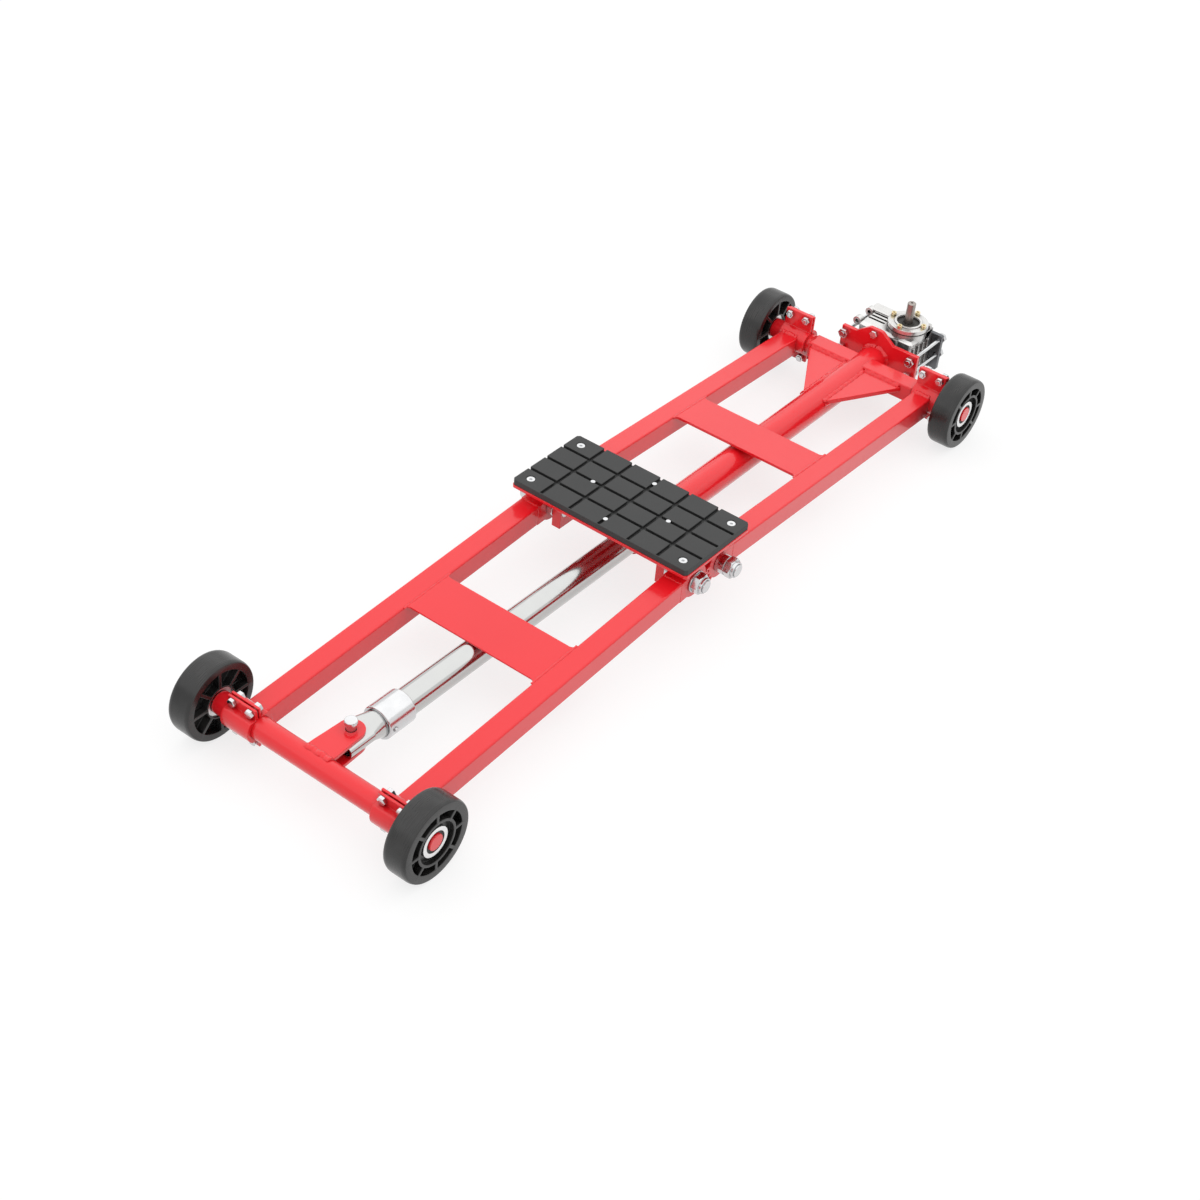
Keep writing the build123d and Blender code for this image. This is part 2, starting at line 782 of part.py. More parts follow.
# Pivot studs flush with the insides of the ears, spacers between the ears and the arms, washers and
# lock nuts outside the idle arms, and longer collars under the nuts outside the gear arms
washer_y = rail_outer_y + side_gap
stack_lengths = {-1: pivot_washer_thickness, 1: pivot_collar_length}


def pivot_axis(end, side, y):
    """Plane on a pivot's axis at a distance from the middle, with its normal pointing outwards."""
    origin = (mid_x + end * pivot_half_span, side * y, pivot_height)
    return Plane(origin=origin, x_dir=(1, 0, 0), z_dir=(0, side, 0))


with BuildPart() as pivot_bolts:
    for side in sides.values():
        for end, stack in stack_lengths.items():
            seat = pivot_axis(end, side, ear_inner_y)
            tip_y = washer_y + stack + pivot_nut_height + pivot_bolt_tip
            round_bar(seat, pivot_bolt_radius, tip_y - ear_inner_y)
save(pivot_bolts, "pivot_bolts")

with BuildPart() as pivot_spacers:
    spacer_radii = {-1: pivot_washer_radius, 1: pivot_collar_radius}
    for side in sides.values():
        for end, stack in stack_lengths.items():
            bore = pivot_bolt_radius + fit_gap
            ring(pivot_axis(end, side, ear_outer_y), pivot_collar_radius, bore, ear_spacer_length)
            ring(pivot_axis(end, side, washer_y), spacer_radii[end], bore, stack)
save(pivot_spacers, "pivot_spacers")

nut_hex_height = pivot_nut_height - nut_collar_height
with BuildPart() as pivot_nuts:
    for side in sides.values():
        for end, stack in stack_lengths.items():
            seat = pivot_axis(end, side, washer_y + stack)
            with BuildSketch(seat):
                RegularPolygon(pivot_bolt_flats / 2, 6, major_radius=False)
                Circle(pivot_bolt_radius + fit_gap, mode=Mode.SUBTRACT)
            extrude(amount=nut_hex_height)
            turn_off_corners(seat, pivot_bolt_flats, nut_hex_height)
            collar_seat = seat.offset(nut_hex_height)
            ring(collar_seat, nut_collar_radius, pivot_bolt_radius + fit_gap, nut_collar_height)
save(pivot_nuts, "pivot_nuts")

# Screw tube from its mouth under the platform to the flange
tube_mouth_x = mid_x + screw_tube_mouth
flange_x = mid_x + flange_front
screw_tube_bore = screw_tube_radius - screw_tube_wall
with BuildPart() as screw_tube:
    ring(along(tube_mouth_x, 0, screw_height), screw_tube_radius, screw_tube_bore, flange_x - tube_mouth_x)
save(screw_tube, "screw_tube")

with BuildPart() as guide_bush:
    ring(
        along(tube_mouth_x, 0, screw_height),
        screw_tube_bore - fit_gap,
        push_tube_radius + running_gap,
        guide_bush_length,
    )
save(guide_bush, "guide_bush")

with BuildPart() as thrust_bearing:
    ring(
        along(flange_x - thrust_bearing_length, 0, screw_height),
        screw_tube_bore - fit_gap,
        screw_journal_radius + running_gap,
        thrust_bearing_length,
    )
save(thrust_bearing, "thrust_bearing")

# Triangular gussets in the corners between the screw tube and the gear axle's beam
with BuildPart() as gussets:
    for side in sides.values():
        with BuildSketch(Plane.XY.offset(gusset_top)):
            with BuildLine():
                Polyline(
                    (gear_x - gusset_length, side * axle_half_start),
                    (gear_x - axle_radius, side * gusset_half_width),
                    (gear_x - axle_radius, side * axle_half_start),
                    close=True,
                )
            make_face()
        extrude(amount=-gusset_thickness)
    with BuildSketch(along(gear_x, 0, screw_height)):
        Circle(screw_tube_radius)
    extrude(amount=half_wheelbase, both=True, mode=Mode.SUBTRACT)
save(gussets, "gussets")

# Lead screw with its journal and the worm wheel
screw_shoulder_x = flange_x - thrust_bearing_length - seat_gap
journal_end_x = mid_x + rear_plate_front - housing_inset
with BuildPart() as lead_screw:
    free_end = along(mid_x + screw_free_end, 0, screw_height)
    round_bar(free_end, screw_radius, screw_shoulder_x - mid_x - screw_free_end)
    round_bar(free_end, screw_journal_radius, journal_end_x - mid_x - screw_free_end)
save(lead_screw, "lead_screw")

with BuildPart() as worm_wheel:
    ring(
        along(worm_x - worm_wheel_width / 2, 0, screw_height),
        worm_wheel_radius,
        screw_journal_radius + fit_gap,
        worm_wheel_width,
    )
save(worm_wheel, "worm_wheel")

# Push tube: round inside the screw tube, flattened to a tongue at the idle end
taper_start_x = idle_x + sleeve_start
taper_end_x = idle_x + clevis_pin_offset + clevis_nose_radius + tongue_nose_gap
tongue_end_x = idle_x + tongue_end
tongue_z = tongue_top - tongue_height / 2
pin_x = idle_x + clevis_pin_offset
sleeve_pin_x = idle_x + sleeve_start + sleeve_pin_inset
push_tube_end_x = mid_x + push_tube_inner_end
push_tube_bore = push_tube_radius - push_tube_wall


def tongue_body(inset, mode):
    """Add or cut the tube, its taper and its flat tongue, drawn in by an inset from the outside."""
    round_size = 2 * (push_tube_radius - inset)
    flat_height = tongue_height - 2 * inset
    flat_width = tongue_width - 2 * inset
    tube_start = along(taper_start_x, 0, screw_height)
    round_bar(tube_start, push_tube_radius - inset, push_tube_end_x - taper_start_x, mode)
    with BuildSketch(tube_start) as round_end:
        RectangleRounded(round_size, round_size, round_size / 2 - fit_gap)
    with BuildSketch(along(taper_end_x, 0, tongue_z)) as flat_end:
        RectangleRounded(flat_width, flat_height, flat_height / 2 - fit_gap)
    loft([round_end.sketch, flat_end.sketch], mode=mode)
    extrude(flat_end.sketch, amount=tongue_end_x - taper_end_x, mode=mode)


with BuildPart() as push_tube:
    tongue_body(0, Mode.ADD)
    tongue_body(push_tube_wall, Mode.SUBTRACT)
    pin_axis = Plane(origin=(pin_x, 0, 0))
    round_bar(pin_axis, clevis_pin_radius + clevis_hole_clearance, tongue_top, Mode.SUBTRACT)
    with BuildSketch(across(sleeve_pin_x, 0, screw_height)):
        Circle(sleeve_pin_radius + fit_gap)
    extrude(amount=sleeve_radius, both=True, mode=Mode.SUBTRACT)
save(push_tube, "push_tube")

with BuildPart() as drive_nut:
    ring(
        along(push_tube_end_x - drive_nut_length, 0, screw_height),
        push_tube_bore - fit_gap,
        screw_radius + running_gap,
        drive_nut_length,
    )
save(drive_nut, "drive_nut")

# Sleeve round the push tube, held by a cross pin
with BuildPart() as sleeve:
    ring(along(taper_start_x, 0, screw_height), sleeve_radius, push_tube_radius + fit_gap, sleeve_length)
    rims = sleeve.edges().filter_by(GeomType.CIRCLE).group_by(SortBy.RADIUS)[-1]
    chamfer(rims, sleeve_chamfer)
    with BuildSketch(across(sleeve_pin_x, 0, screw_height)):
        Circle(sleeve_pin_radius + fit_gap)
    extrude(amount=sleeve_radius, both=True, mode=Mode.SUBTRACT)
save(sleeve, "sleeve")

with BuildPart() as sleeve_pin:
    with BuildSketch(across(sleeve_pin_x, 0, screw_height)):
        Circle(sleeve_pin_radius)
    extrude(amount=sleeve_radius + sleeve_pin_proud, both=True)
save(sleeve_pin, "sleeve_pin")

# Clevis: two ears above and below the tongue, welded to the idle axle, and their pin
upper_ear_bottom = tongue_top + seat_gap
lower_ear_top = tongue_top - tongue_height - seat_gap
with BuildPart() as clevis_ears:
    for ear_bottom in (upper_ear_bottom, lower_ear_top - clevis_ear_thickness):
        with BuildSketch(Plane.XY.offset(ear_bottom)):
            with Locations((pin_x, 0)):
                Circle(clevis_nose_radius)
            with Locations((idle_x + axle_radius / 2, 0)):
                Rectangle(axle_radius, 2 * clevis_base_half_width)
            make_hull()
            with Locations((pin_x, 0)):
                Circle(clevis_pin_radius + clevis_hole_clearance, mode=Mode.SUBTRACT)
        extrude(amount=clevis_ear_thickness)
    with BuildSketch(across(idle_x, 0, axle_z)):
        Circle(axle_radius)
    extrude(amount=overall_width, both=True, mode=Mode.SUBTRACT)
save(clevis_ears, "clevis_ears")

with BuildPart() as clevis_pin:
    pin_seat = upper_ear_bottom + clevis_ear_thickness
    pin_bottom = lower_ear_top - clevis_ear_thickness - clevis_pin_tail
    head_bottom = pin_seat + clevis_pin_rise
    round_bar(Plane(origin=(pin_x, 0, pin_bottom)), clevis_pin_radius, head_bottom - pin_bottom)
    round_bar(Plane(origin=(pin_x, 0, head_bottom)), clevis_pin_head_radius, clevis_pin_head_height)
    chamfer(clevis_pin.edges().group_by(Axis.Z)[-1], spindle_chamfer)
save(clevis_pin, "clevis_pin")

# Gearbox end: flange with a hump, adapter plate and rear plate, drilled for four tie studs
stud_places = [
    (stud_center_y + sign_y * stud_half_spacing_y, stud_center_z + sign_z * stud_half_spacing_z)
    for sign_y in (-1, 1)
    for sign_z in (-1, 1)
]


def drill_plate(front_x, thickness):
    """Cut the stud holes and the journal hole through a gearbox plate."""
    with BuildSketch(along(front_x, 0, 0)) as holes:
        with Locations(*stud_places):
            Circle(stud_radius + fit_gap)
        with Locations((0, screw_height)):
            Circle(screw_journal_radius + side_gap)
    extrude(holes.sketch, amount=thickness, mode=Mode.SUBTRACT)


with BuildPart() as flange_plate:
    with BuildSketch(along(flange_x, 0, 0)):
        with BuildLine():
            Polyline(
                (flange_right, flange_bottom),
                (flange_right, flange_top),
                (hump_center - hump_half_base, flange_top),
                (hump_center - hump_half_top, hump_top),
                (hump_center + hump_half_top, hump_top),
                (hump_center + hump_half_base, flange_top),
                (flange_left, flange_top),
                (flange_left, flange_bottom),
                close=True,
            )
        make_face()
        fillet(vertices().group_by(Axis.Y)[-1], hump_round)
    extrude(amount=flange_thickness)
    drill_plate(flange_x, flange_thickness)
    with BuildSketch(along(flange_x, 0, 0)):
        with Locations((flange_bolt_y, flange_bolt_z)):
            Circle(clamp_bolt_radius + fit_gap)
    extrude(amount=flange_thickness, mode=Mode.SUBTRACT)
save(flange_plate, "flange_plate")

with BuildPart() as flange_bolt:
    bolt_seat = along(flange_x, flange_bolt_y, flange_bolt_z)
    round_bar(bolt_seat, clamp_bolt_radius, flange_thickness + clamp_nut_height + clamp_bolt_tip)
    hex_prism(bolt_seat, clamp_bolt_flats, -clamp_head_height)
    with BuildSketch(bolt_seat.offset(flange_thickness)):
        RegularPolygon(clamp_bolt_flats / 2, 6, major_radius=False)
        Circle(clamp_bolt_radius + fit_gap, mode=Mode.SUBTRACT)
    extrude(amount=clamp_nut_height)
save(flange_bolt, "flange_bolt")

plate_left = flange_left - adapter_margin
plate_base = flange_bottom + adapter_margin
adapter_right = flange_right + adapter_margin
adapter_top = flange_top - adapter_margin
rear_corners = (rear_plate_right, rear_plate_top, rear_plate_corner)
for plate_name, front, thickness, (right, top, corner) in (
    ("adapter_plate", adapter_front, adapter_thickness, (adapter_right, adapter_top, adapter_corner)),
    ("rear_plate", rear_plate_front, rear_plate_thickness, rear_corners),
):
    with BuildPart() as gearbox_plate:
        with BuildSketch(along(mid_x + front, 0, 0)):
            with Locations(((plate_left + right) / 2, (top + plate_base) / 2)):
                Rectangle(plate_left - right, top - plate_base)
            chamfer(vertices(), corner)
        extrude(amount=thickness)
        drill_plate(mid_x + front, thickness)
    save(gearbox_plate, plate_name)

stud_start_x = flange_x - tie_nut_height - stud_projection
with BuildPart() as tie_studs:
    for stud_y, stud_z in stud_places:
        round_bar(along(stud_start_x, stud_y, stud_z), stud_radius, mid_x + gearbox_end - stud_start_x)
save(tie_studs, "tie_studs")

with BuildPart() as tie_nuts:
    for nut_x in (flange_x - tie_nut_height, mid_x + rear_plate_back):
        for stud_y, stud_z in stud_places:
            with BuildSketch(along(nut_x, stud_y, stud_z)):
                RegularPolygon(tie_nut_flats / 2, 6, major_radius=False)
                Circle(stud_radius + fit_gap, mode=Mode.SUBTRACT)
            extrude(amount=tie_nut_height)
save(tie_nuts, "tie_nuts")

# Worm gearbox: ribbed casting, top cover with its screws and seal, input shaft with the worm
housing_x = mid_x + housing_front
worm_axis = Plane(origin=(worm_x, -worm_offset, 0))
worm_bottom = screw_height - worm_length / 2
shaft_foot = housing_bottom - foot_boss_height + foot_wall
rear_block_x = housing_center_x + rear_block_offset
rear_block_end = housing_x + housing_length
slot_right = worm_boss_radius - worm_offset + slot_wall
with BuildPart() as gearbox_housing:
    with BuildSketch(Plane.XY.offset(housing_bottom)):
        with Locations((housing_center_x, (housing_left + housing_right) / 2)):
            RectangleRounded(housing_length - 2 * housing_inset, housing_left - housing_right, housing_corner)
    extrude(amount=housing_top - housing_bottom)
    front_edge = gearbox_housing.faces().sort_by(Axis.Z)[-1].edges().filter_by(Axis.Y).sort_by(Axis.X)[0]
    chamfer(front_edge, front_bevel)
    with BuildSketch(Plane.XY.offset(housing_bottom)):
        with Locations(((rear_block_x + rear_block_end) / 2, (rear_block_left + housing_right) / 2)):
            Rectangle(rear_block_end - rear_block_x, rear_block_left - housing_right)
    extrude(amount=rear_block_top - housing_bottom)
    round_bar(Plane(origin=(rear_block_end - peg_inset, peg_y, rear_block_top)), peg_radius, peg_rise)
    front_rib = Plane(origin=(housing_x + housing_inset, -worm_offset, housing_bottom))
    round_bar(front_rib, front_rib_radius, front_rib_top - housing_bottom)
    round_bar(along(housing_x, 0, screw_height), bearing_boss_radius, housing_length)
    round_bar(worm_axis.offset(worm_boss_top), worm_boss_radius, -worm_boss_depth)
    round_bar(worm_axis.offset(housing_bottom), foot_boss_radius, -foot_boss_height)
    slot_length = housing_left - slot_wall - slot_right
    with BuildSketch(Plane.XY.offset(housing_top)):
        with Locations((worm_x + slot_offset, slot_right + slot_length / 2)):
            with GridLocations(slot_pitch, 0, slot_count, 1):
                SlotOverall(slot_length, slot_width, rotation=90)
    extrude(amount=-slot_depth, mode=Mode.SUBTRACT)
    with BuildSketch(Plane.XZ.offset(-housing_right)):
        with Locations((housing_center_x, screw_height)):
            with GridLocations(side_rib_pitch, 0, side_rib_count, 1):
                Rectangle(side_rib_thickness, side_rib_length)
    extrude(amount=side_rib_rise)
    for way in (-1, 1):
        lug_x = housing_center_x + lug_offset + way * lug_half_spacing
        lug_start = along(lug_x - lug_length / 2, lug_y, lug_z)
        round_bar(lug_start, lug_radius, lug_length)
        round_bar(lug_start, lug_hole_radius, lug_length, Mode.SUBTRACT)
    round_bar(
        along(housing_x, 0, screw_height),
        screw_journal_radius + running_gap,
        journal_end_x - housing_x + seat_gap,
        Mode.SUBTRACT,
    )
    with BuildSketch(along(worm_x, 0, screw_height)):
        Circle(worm_wheel_radius + housing_clearance)
    extrude(amount=worm_wheel_width / 2 + housing_clearance, both=True, mode=Mode.SUBTRACT)
    round_bar(
        worm_axis.offset(shaft_foot - seat_gap),
        shaft_seat_radius + running_gap,
        worm_boss_top,
        Mode.SUBTRACT,
    )
    round_bar(
        worm_axis.offset(worm_bottom - housing_clearance),
        worm_radius + housing_clearance,
        worm_length + 2 * housing_clearance,
        Mode.SUBTRACT,
    )
save(gearbox_housing, "gearbox_housing")

with BuildPart() as input_cover:
    ring(worm_axis.offset(worm_boss_top), cover_radius, shaft_seat_radius + side_gap, cover_thickness)
    seal_seat = worm_axis.offset(cover_top)
    round_bar(seal_seat, seal_radius + fit_gap, -seal_thickness - seal_recess, Mode.SUBTRACT)
    with BuildSketch(worm_axis.offset(worm_boss_top)):
        with PolarLocations(cover_screw_circle, 4):
            Circle(cover_screw_radius + fit_gap)
    extrude(amount=cover_thickness, mode=Mode.SUBTRACT)
save(input_cover, "input_cover")

with BuildPart() as input_seal:
    seal_top = worm_axis.offset(cover_top - seal_recess)
    ring(seal_top, seal_radius, shaft_seat_radius + running_gap, -seal_thickness)
save(input_seal, "input_seal")

with BuildPart() as cover_screws:
    with BuildSketch(worm_axis.offset(worm_boss_top)):
        with PolarLocations(cover_screw_circle, 4):
            Circle(cover_screw_radius)
    extrude(amount=cover_thickness)
    with BuildSketch(worm_axis.offset(cover_top)):
        with PolarLocations(cover_screw_circle, 4):
            Circle(cover_screw_head_radius)
    extrude(amount=cover_screw_head_height)
    with BuildSketch(worm_axis.offset(cover_top + cover_screw_head_height)):
        with PolarLocations(cover_screw_circle, 4):
            RegularPolygon(cover_screw_socket / 2, 6, major_radius=False)
    extrude(amount=-cover_screw_socket_depth, mode=Mode.SUBTRACT)
save(cover_screws, "cover_screws")

with BuildPart() as input_shaft:
    round_bar(worm_axis.offset(shaft_foot), shaft_radius, shaft_top - shaft_foot)
    chamfer(input_shaft.edges().group_by(Axis.Z)[-1], shaft_chamfer)
    round_bar(worm_axis.offset(shaft_top), center_hole_radius, -center_hole_depth, Mode.SUBTRACT)
    round_bar(worm_axis.offset(shaft_foot), shaft_seat_radius, cover_top - seal_recess - shaft_foot)
    round_bar(worm_axis.offset(worm_bottom), worm_radius, worm_length)
save(input_shaft, "input_shaft")
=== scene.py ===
"""Looks of a portable car lift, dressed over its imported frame.

Every piece is in metres, in the frame's own axes: +X towards the gearbox, +Y to the left, +Z up.
"""

import json
import logging
import math
import random
from dataclasses import dataclass
from enum import Enum
from typing import Sequence, Union

import bmesh
import bpy
from mathutils import Matrix, Vector
from mathutils.bvhtree import BVHTree


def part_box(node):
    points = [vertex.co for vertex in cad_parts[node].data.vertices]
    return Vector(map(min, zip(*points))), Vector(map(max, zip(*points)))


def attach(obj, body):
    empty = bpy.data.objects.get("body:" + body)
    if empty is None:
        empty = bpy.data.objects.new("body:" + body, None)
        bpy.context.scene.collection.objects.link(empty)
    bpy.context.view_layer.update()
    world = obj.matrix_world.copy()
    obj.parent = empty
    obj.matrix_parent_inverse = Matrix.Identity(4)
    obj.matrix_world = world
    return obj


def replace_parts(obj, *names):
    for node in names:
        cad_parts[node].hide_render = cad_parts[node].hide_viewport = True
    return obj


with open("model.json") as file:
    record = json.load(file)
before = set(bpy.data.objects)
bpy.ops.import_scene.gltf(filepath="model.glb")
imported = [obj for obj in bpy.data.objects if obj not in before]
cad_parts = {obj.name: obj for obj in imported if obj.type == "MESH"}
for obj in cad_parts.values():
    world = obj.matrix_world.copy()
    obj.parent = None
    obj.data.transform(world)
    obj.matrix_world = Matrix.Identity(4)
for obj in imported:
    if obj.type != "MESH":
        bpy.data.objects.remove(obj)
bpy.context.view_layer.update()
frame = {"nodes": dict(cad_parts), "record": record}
LOG = logging.getLogger("car_lift")
UP = Vector((0.0, 0.0, 1.0))

Number = Union[float, "Wire"]
Triple = tuple[float, float, float]
Shape = bmesh.types.BMesh
Profile = Sequence[tuple[float, float]]
Path = Sequence[tuple[Vector, Vector]]

EVEN: Triple = (1.0, 1.0, 1.0)


class Slot(Enum):
    """Material slots of the record that the pieces take their finish from."""

    RED_PAINT = "red_paint"
    CHROME_TUBE = "chrome_tube"
    ZINC_STEEL = "zinc_steel"
    BEARING_STEEL = "bearing_steel"
    BLACK_NYLON = "black_nylon"
    PAD_RUBBER = "pad_rubber"
    CAST_ALUMINIUM = "cast_aluminium"
    DARK_STEEL = "dark_steel"
    YELLOW_ZINC = "yellow_zinc"
    SEAL_RUBBER = "seal_rubber"
    BARE_STEEL = "bare_steel"
    BRONZE = "bronze"


class Place(Enum):
    """A place on the lift, with a sign."""

    @property
    def word(self) -> str:
        """The place as node names have it."""
        return self.name.lower()


class Side(Place):
    """Sides of the lift, with the sign of Y."""

    LEFT = 1
    RIGHT = -1


class End(Place):
    """Ends of the lift, with the sign of X from the axle towards the platform."""

    IDLE = 1
    GEAR = -1


class Wire:
    """A value in a shader graph. Arithmetic on it adds Math nodes."""

    def __init__(self, graph: "Graph", socket: bpy.types.NodeSocket) -> None:
        """Wrap one output socket of a graph."""
        self.graph = graph
        self.socket = socket

    def _math(self, operation: str, left: Number, right: Number) -> "Wire":
        """Add one Math node on two values."""
        return self.graph.node("ShaderNodeMath", {"operation": operation}, {0: left, 1: right})

    def __add__(self, other: Number) -> "Wire":
        """Sum with a value on the right."""
        return self._math("ADD", self, other)

    def __radd__(self, other: Number) -> "Wire":
        """Sum with a value on the left."""
        return self._math("ADD", other, self)

    def __sub__(self, other: Number) -> "Wire":
        """Difference with a value on the right."""
        return self._math("SUBTRACT", self, other)

    def __rsub__(self, other: Number) -> "Wire":
        """Difference with a value on the left."""
        return self._math("SUBTRACT", other, self)

    def __mul__(self, other: Number) -> "Wire":
        """Product with a value on the right."""
        return self._math("MULTIPLY", self, other)

    def clipped(self) -> "Wire":
        """The value kept between 0 and 1."""
        return self.graph.node("ShaderNodeClamp", {}, {"Value": self})

    def at_most(self, limit: Number) -> "Wire":
        """The smaller of this value and a limit."""
        return self._math("MINIMUM", self, limit)


class Graph:
    """The node graph of one material or world, with short ways to add what the finishes share."""

    MIX_FACTOR, MIX_LOW, MIX_HIGH, MIX_RESULT = 0, 6, 7, 2
    BEVEL_SAMPLES = 4
    CREVICE_SAMPLES = 6

    def __init__(self, owner: Union[bpy.types.Material, bpy.types.World]) -> None:
        """Start an empty graph.

        Args:
            owner: The material or world that the graph belongs to.
        """
        owner.use_nodes = True
        self.owner = owner
        self.tree = owner.node_tree
        self.tree.nodes.clear()

    def node(self, kind: str, settings: dict, sockets: dict, output: Union[int, str] = 0) -> Wire:
        """Add a node, set it up and feed it.

        Args:
            kind: The node's type.
            settings: Its properties, set first.
            sockets: Values or wires by input name or index.
            output: The output that is handed back.

        Returns:
            A wire on that output.
        """
        node = self.tree.nodes.new(kind)
        for key, value in settings.items():
            setattr(node, key, value)
        for key, value in sockets.items():
            if isinstance(value, Wire):
                self.tree.links.new(value.socket, node.inputs[key])
            else:
                node.inputs[key].default_value = value
        return Wire(self, node.outputs[output])

    def coords(self, scale: Triple) -> Wire:
        """Object coordinates, stretched by a scale on each axis."""
        place = self.node("ShaderNodeTexCoord", {}, {}, "Object")
        return self.node("ShaderNodeMapping", {}, {"Vector": place, "Scale": scale})

    def noise(self, scale: float, detail: float, stretch: Triple = EVEN) -> Wire:
        """Cloudy noise from 0 to 1."""
        sockets = {"Vector": self.coords(stretch), "Scale": scale, "Detail": detail}
        return self.node("ShaderNodeTexNoise", {}, sockets)

    def mix(self, factor: Number, low: Union[Triple, Wire], high: Union[Triple, Wire]) -> Wire:
        """Blend two colours.

        Args:
            factor: The share of the second colour.
            low: The first colour.
            high: The second colour.

        Returns:
            The blend.
        """
        sockets = {
            self.MIX_FACTOR: factor,
            self.MIX_LOW: self._rgba(low),
            self.MIX_HIGH: self._rgba(high),
        }
        return self.node("ShaderNodeMix", {"data_type": "RGBA"}, sockets, self.MIX_RESULT)

    @staticmethod
    def _rgba(color: Union[Triple, Wire]) -> Union[tuple, Wire]:
        """A colour as a socket takes it."""
        return color if isinstance(color, Wire) else (*color, 1.0)

    def rounded(self, radius: float) -> Wire:
        """Normals that round every edge by a small radius."""
        return self.node("ShaderNodeBevel", {"samples": self.BEVEL_SAMPLES}, {"Radius": radius})

    def edge_mask(self, reach: float, gain: float) -> Wire:
        """A mask that is 1 on edges and 0 on flats.

        Args:
            reach: How far from an edge the mask begins.
            gain: How steeply it rises.

        Returns:
            The mask.
        """
        flat = self.node("ShaderNodeNewGeometry", {}, {}, "Normal")
        normals = {0: flat, 1: self.rounded(reach)}
        dot = self.node("ShaderNodeVectorMath", {"operation": "DOT_PRODUCT"}, normals, "Value")
        return ((1.0 - dot) * gain).clipped()

    def crevice_mask(self, reach: float) -> Wire:
        """A mask that is 1 in corners within a reach and 0 in open places."""
        settings, sockets = {"samples": self.CREVICE_SAMPLES}, {"Distance": reach}
        return 1.0 - self.node("ShaderNodeAmbientOcclusion", settings, sockets, "AO")

    def bump(self, height: Wire, depth: float, normal: Wire) -> Wire:
        """Normals of a surface with a relief, its depth in metres, laid over other normals."""
        sockets = {"Height": height, "Distance": depth, "Strength": 1.0, "Normal": normal}
        return self.node("ShaderNodeBump", {}, sockets)

    def seen(self) -> Wire:
        """Tell what is looked at from what only gives light.

        Returns:
            1 for rays from the camera and for what gloss or glass shows, and 0 for light.
        """
        camera, glossy, through = (
            self.node("ShaderNodeLightPath", {}, {}, name)
            for name in ("Is Camera Ray", "Is Glossy Ray", "Is Transmission Ray")
        )
        return (camera + glossy + through).at_most(1.0)

    def close(self, shader: Wire) -> None:
        """End the graph on a shader.

        Args:
            shader: What the surface or the world shows.
        """
        is_world = isinstance(self.owner, bpy.types.World)
        kind = "ShaderNodeOutputWorld" if is_world else "ShaderNodeOutputMaterial"
        output = self.tree.nodes.new(kind)
        self.tree.links.new(shader.socket, output.inputs["Surface"])

    def finish(self, sockets: dict) -> None:
        """Close the graph with one Principled shader, given its values or wires by input name."""
        self.close(self.node("ShaderNodeBsdfPrincipled", {}, sockets))


@dataclass(frozen=True)
class Finish:
    """A surface finish, with the width that its sharp edges are rounded to."""

    slot: Slot
    edge_width: float

    def material(self) -> bpy.types.Material:
        """Make the finish's material.

        Returns:
            The material, named for its slot.
        """
        material = bpy.data.materials.new(self.slot.value)
        self.paint(Graph(material))
        return material

    def paint(self, graph: Graph) -> None:
        """Fill the material's graph."""
        raise NotImplementedError


@dataclass(frozen=True)
class GlossPaint(Finish):
    """Sprayed paint with orange peel and a little unevenness, painted shade in its corners and a
    painted highlight on its edges, partly thin paint.
    """

    color: Triple
    shade: Triple
    # The darker colour that corners and recesses take: painted shade.
    recess: Triple
    # The lighter colour on edges: a painted highlight, partly thin paint.
    edge_color: Triple
    roughness: float
    coat: float
    under_gloss: float
    cloud_scale: float = 7.0
    cloud_share: float = 0.5
    recess_reach: float = 0.016
    recess_share: float = 0.75
    edge_reach: float = 0.0012
    edge_gain: float = 2.2
    edge_share: float = 0.35
    fine_peel_scale: float = 420.0
    fine_peel_share: float = 0.6
    broad_peel_scale: float = 90.0
    broad_peel_share: float = 0.4
    peel_depth: float = 0.00010
    haze_scale: float = 40.0
    haze: float = 0.1
    coat_roughness: float = 0.13
    coat_ior: float = 1.4
    edge_rounding: float = 0.0006

    def paint(self, graph: Graph) -> None:
        """Fill the paint's graph.

        Args:
            graph: The material's empty graph.
        """
        clouds = graph.noise(self.cloud_scale, detail=4.0) * self.cloud_share
        body = graph.mix(clouds, self.color, self.shade)
        # Painted shade: corners and recesses darken towards the recess colour.
        corners = graph.crevice_mask(self.recess_reach) * self.recess_share
        recess_shaded = graph.mix(corners, body, self.recess)
        # Painted highlight on edges, partly thin paint there.
        edges = graph.edge_mask(self.edge_reach, self.edge_gain) * self.edge_share
        fine = graph.noise(self.fine_peel_scale, detail=2.0) * self.fine_peel_share
        broad = graph.noise(self.broad_peel_scale, detail=2.0) * self.broad_peel_share
        rounded = graph.rounded(self.edge_rounding)
        graph.finish({
            "Base Color": graph.mix(edges, recess_shaded, self.edge_color),
            "Roughness": self.roughness + graph.noise(self.haze_scale, detail=4.0) * self.haze,
            "Specular IOR Level": self.under_gloss,
            "Coat Weight": self.coat,
            "Coat Roughness": self.coat_roughness,
            "Coat IOR": self.coat_ior,
            "Normal": graph.bump(fine + broad, self.peel_depth, rounded),
        })


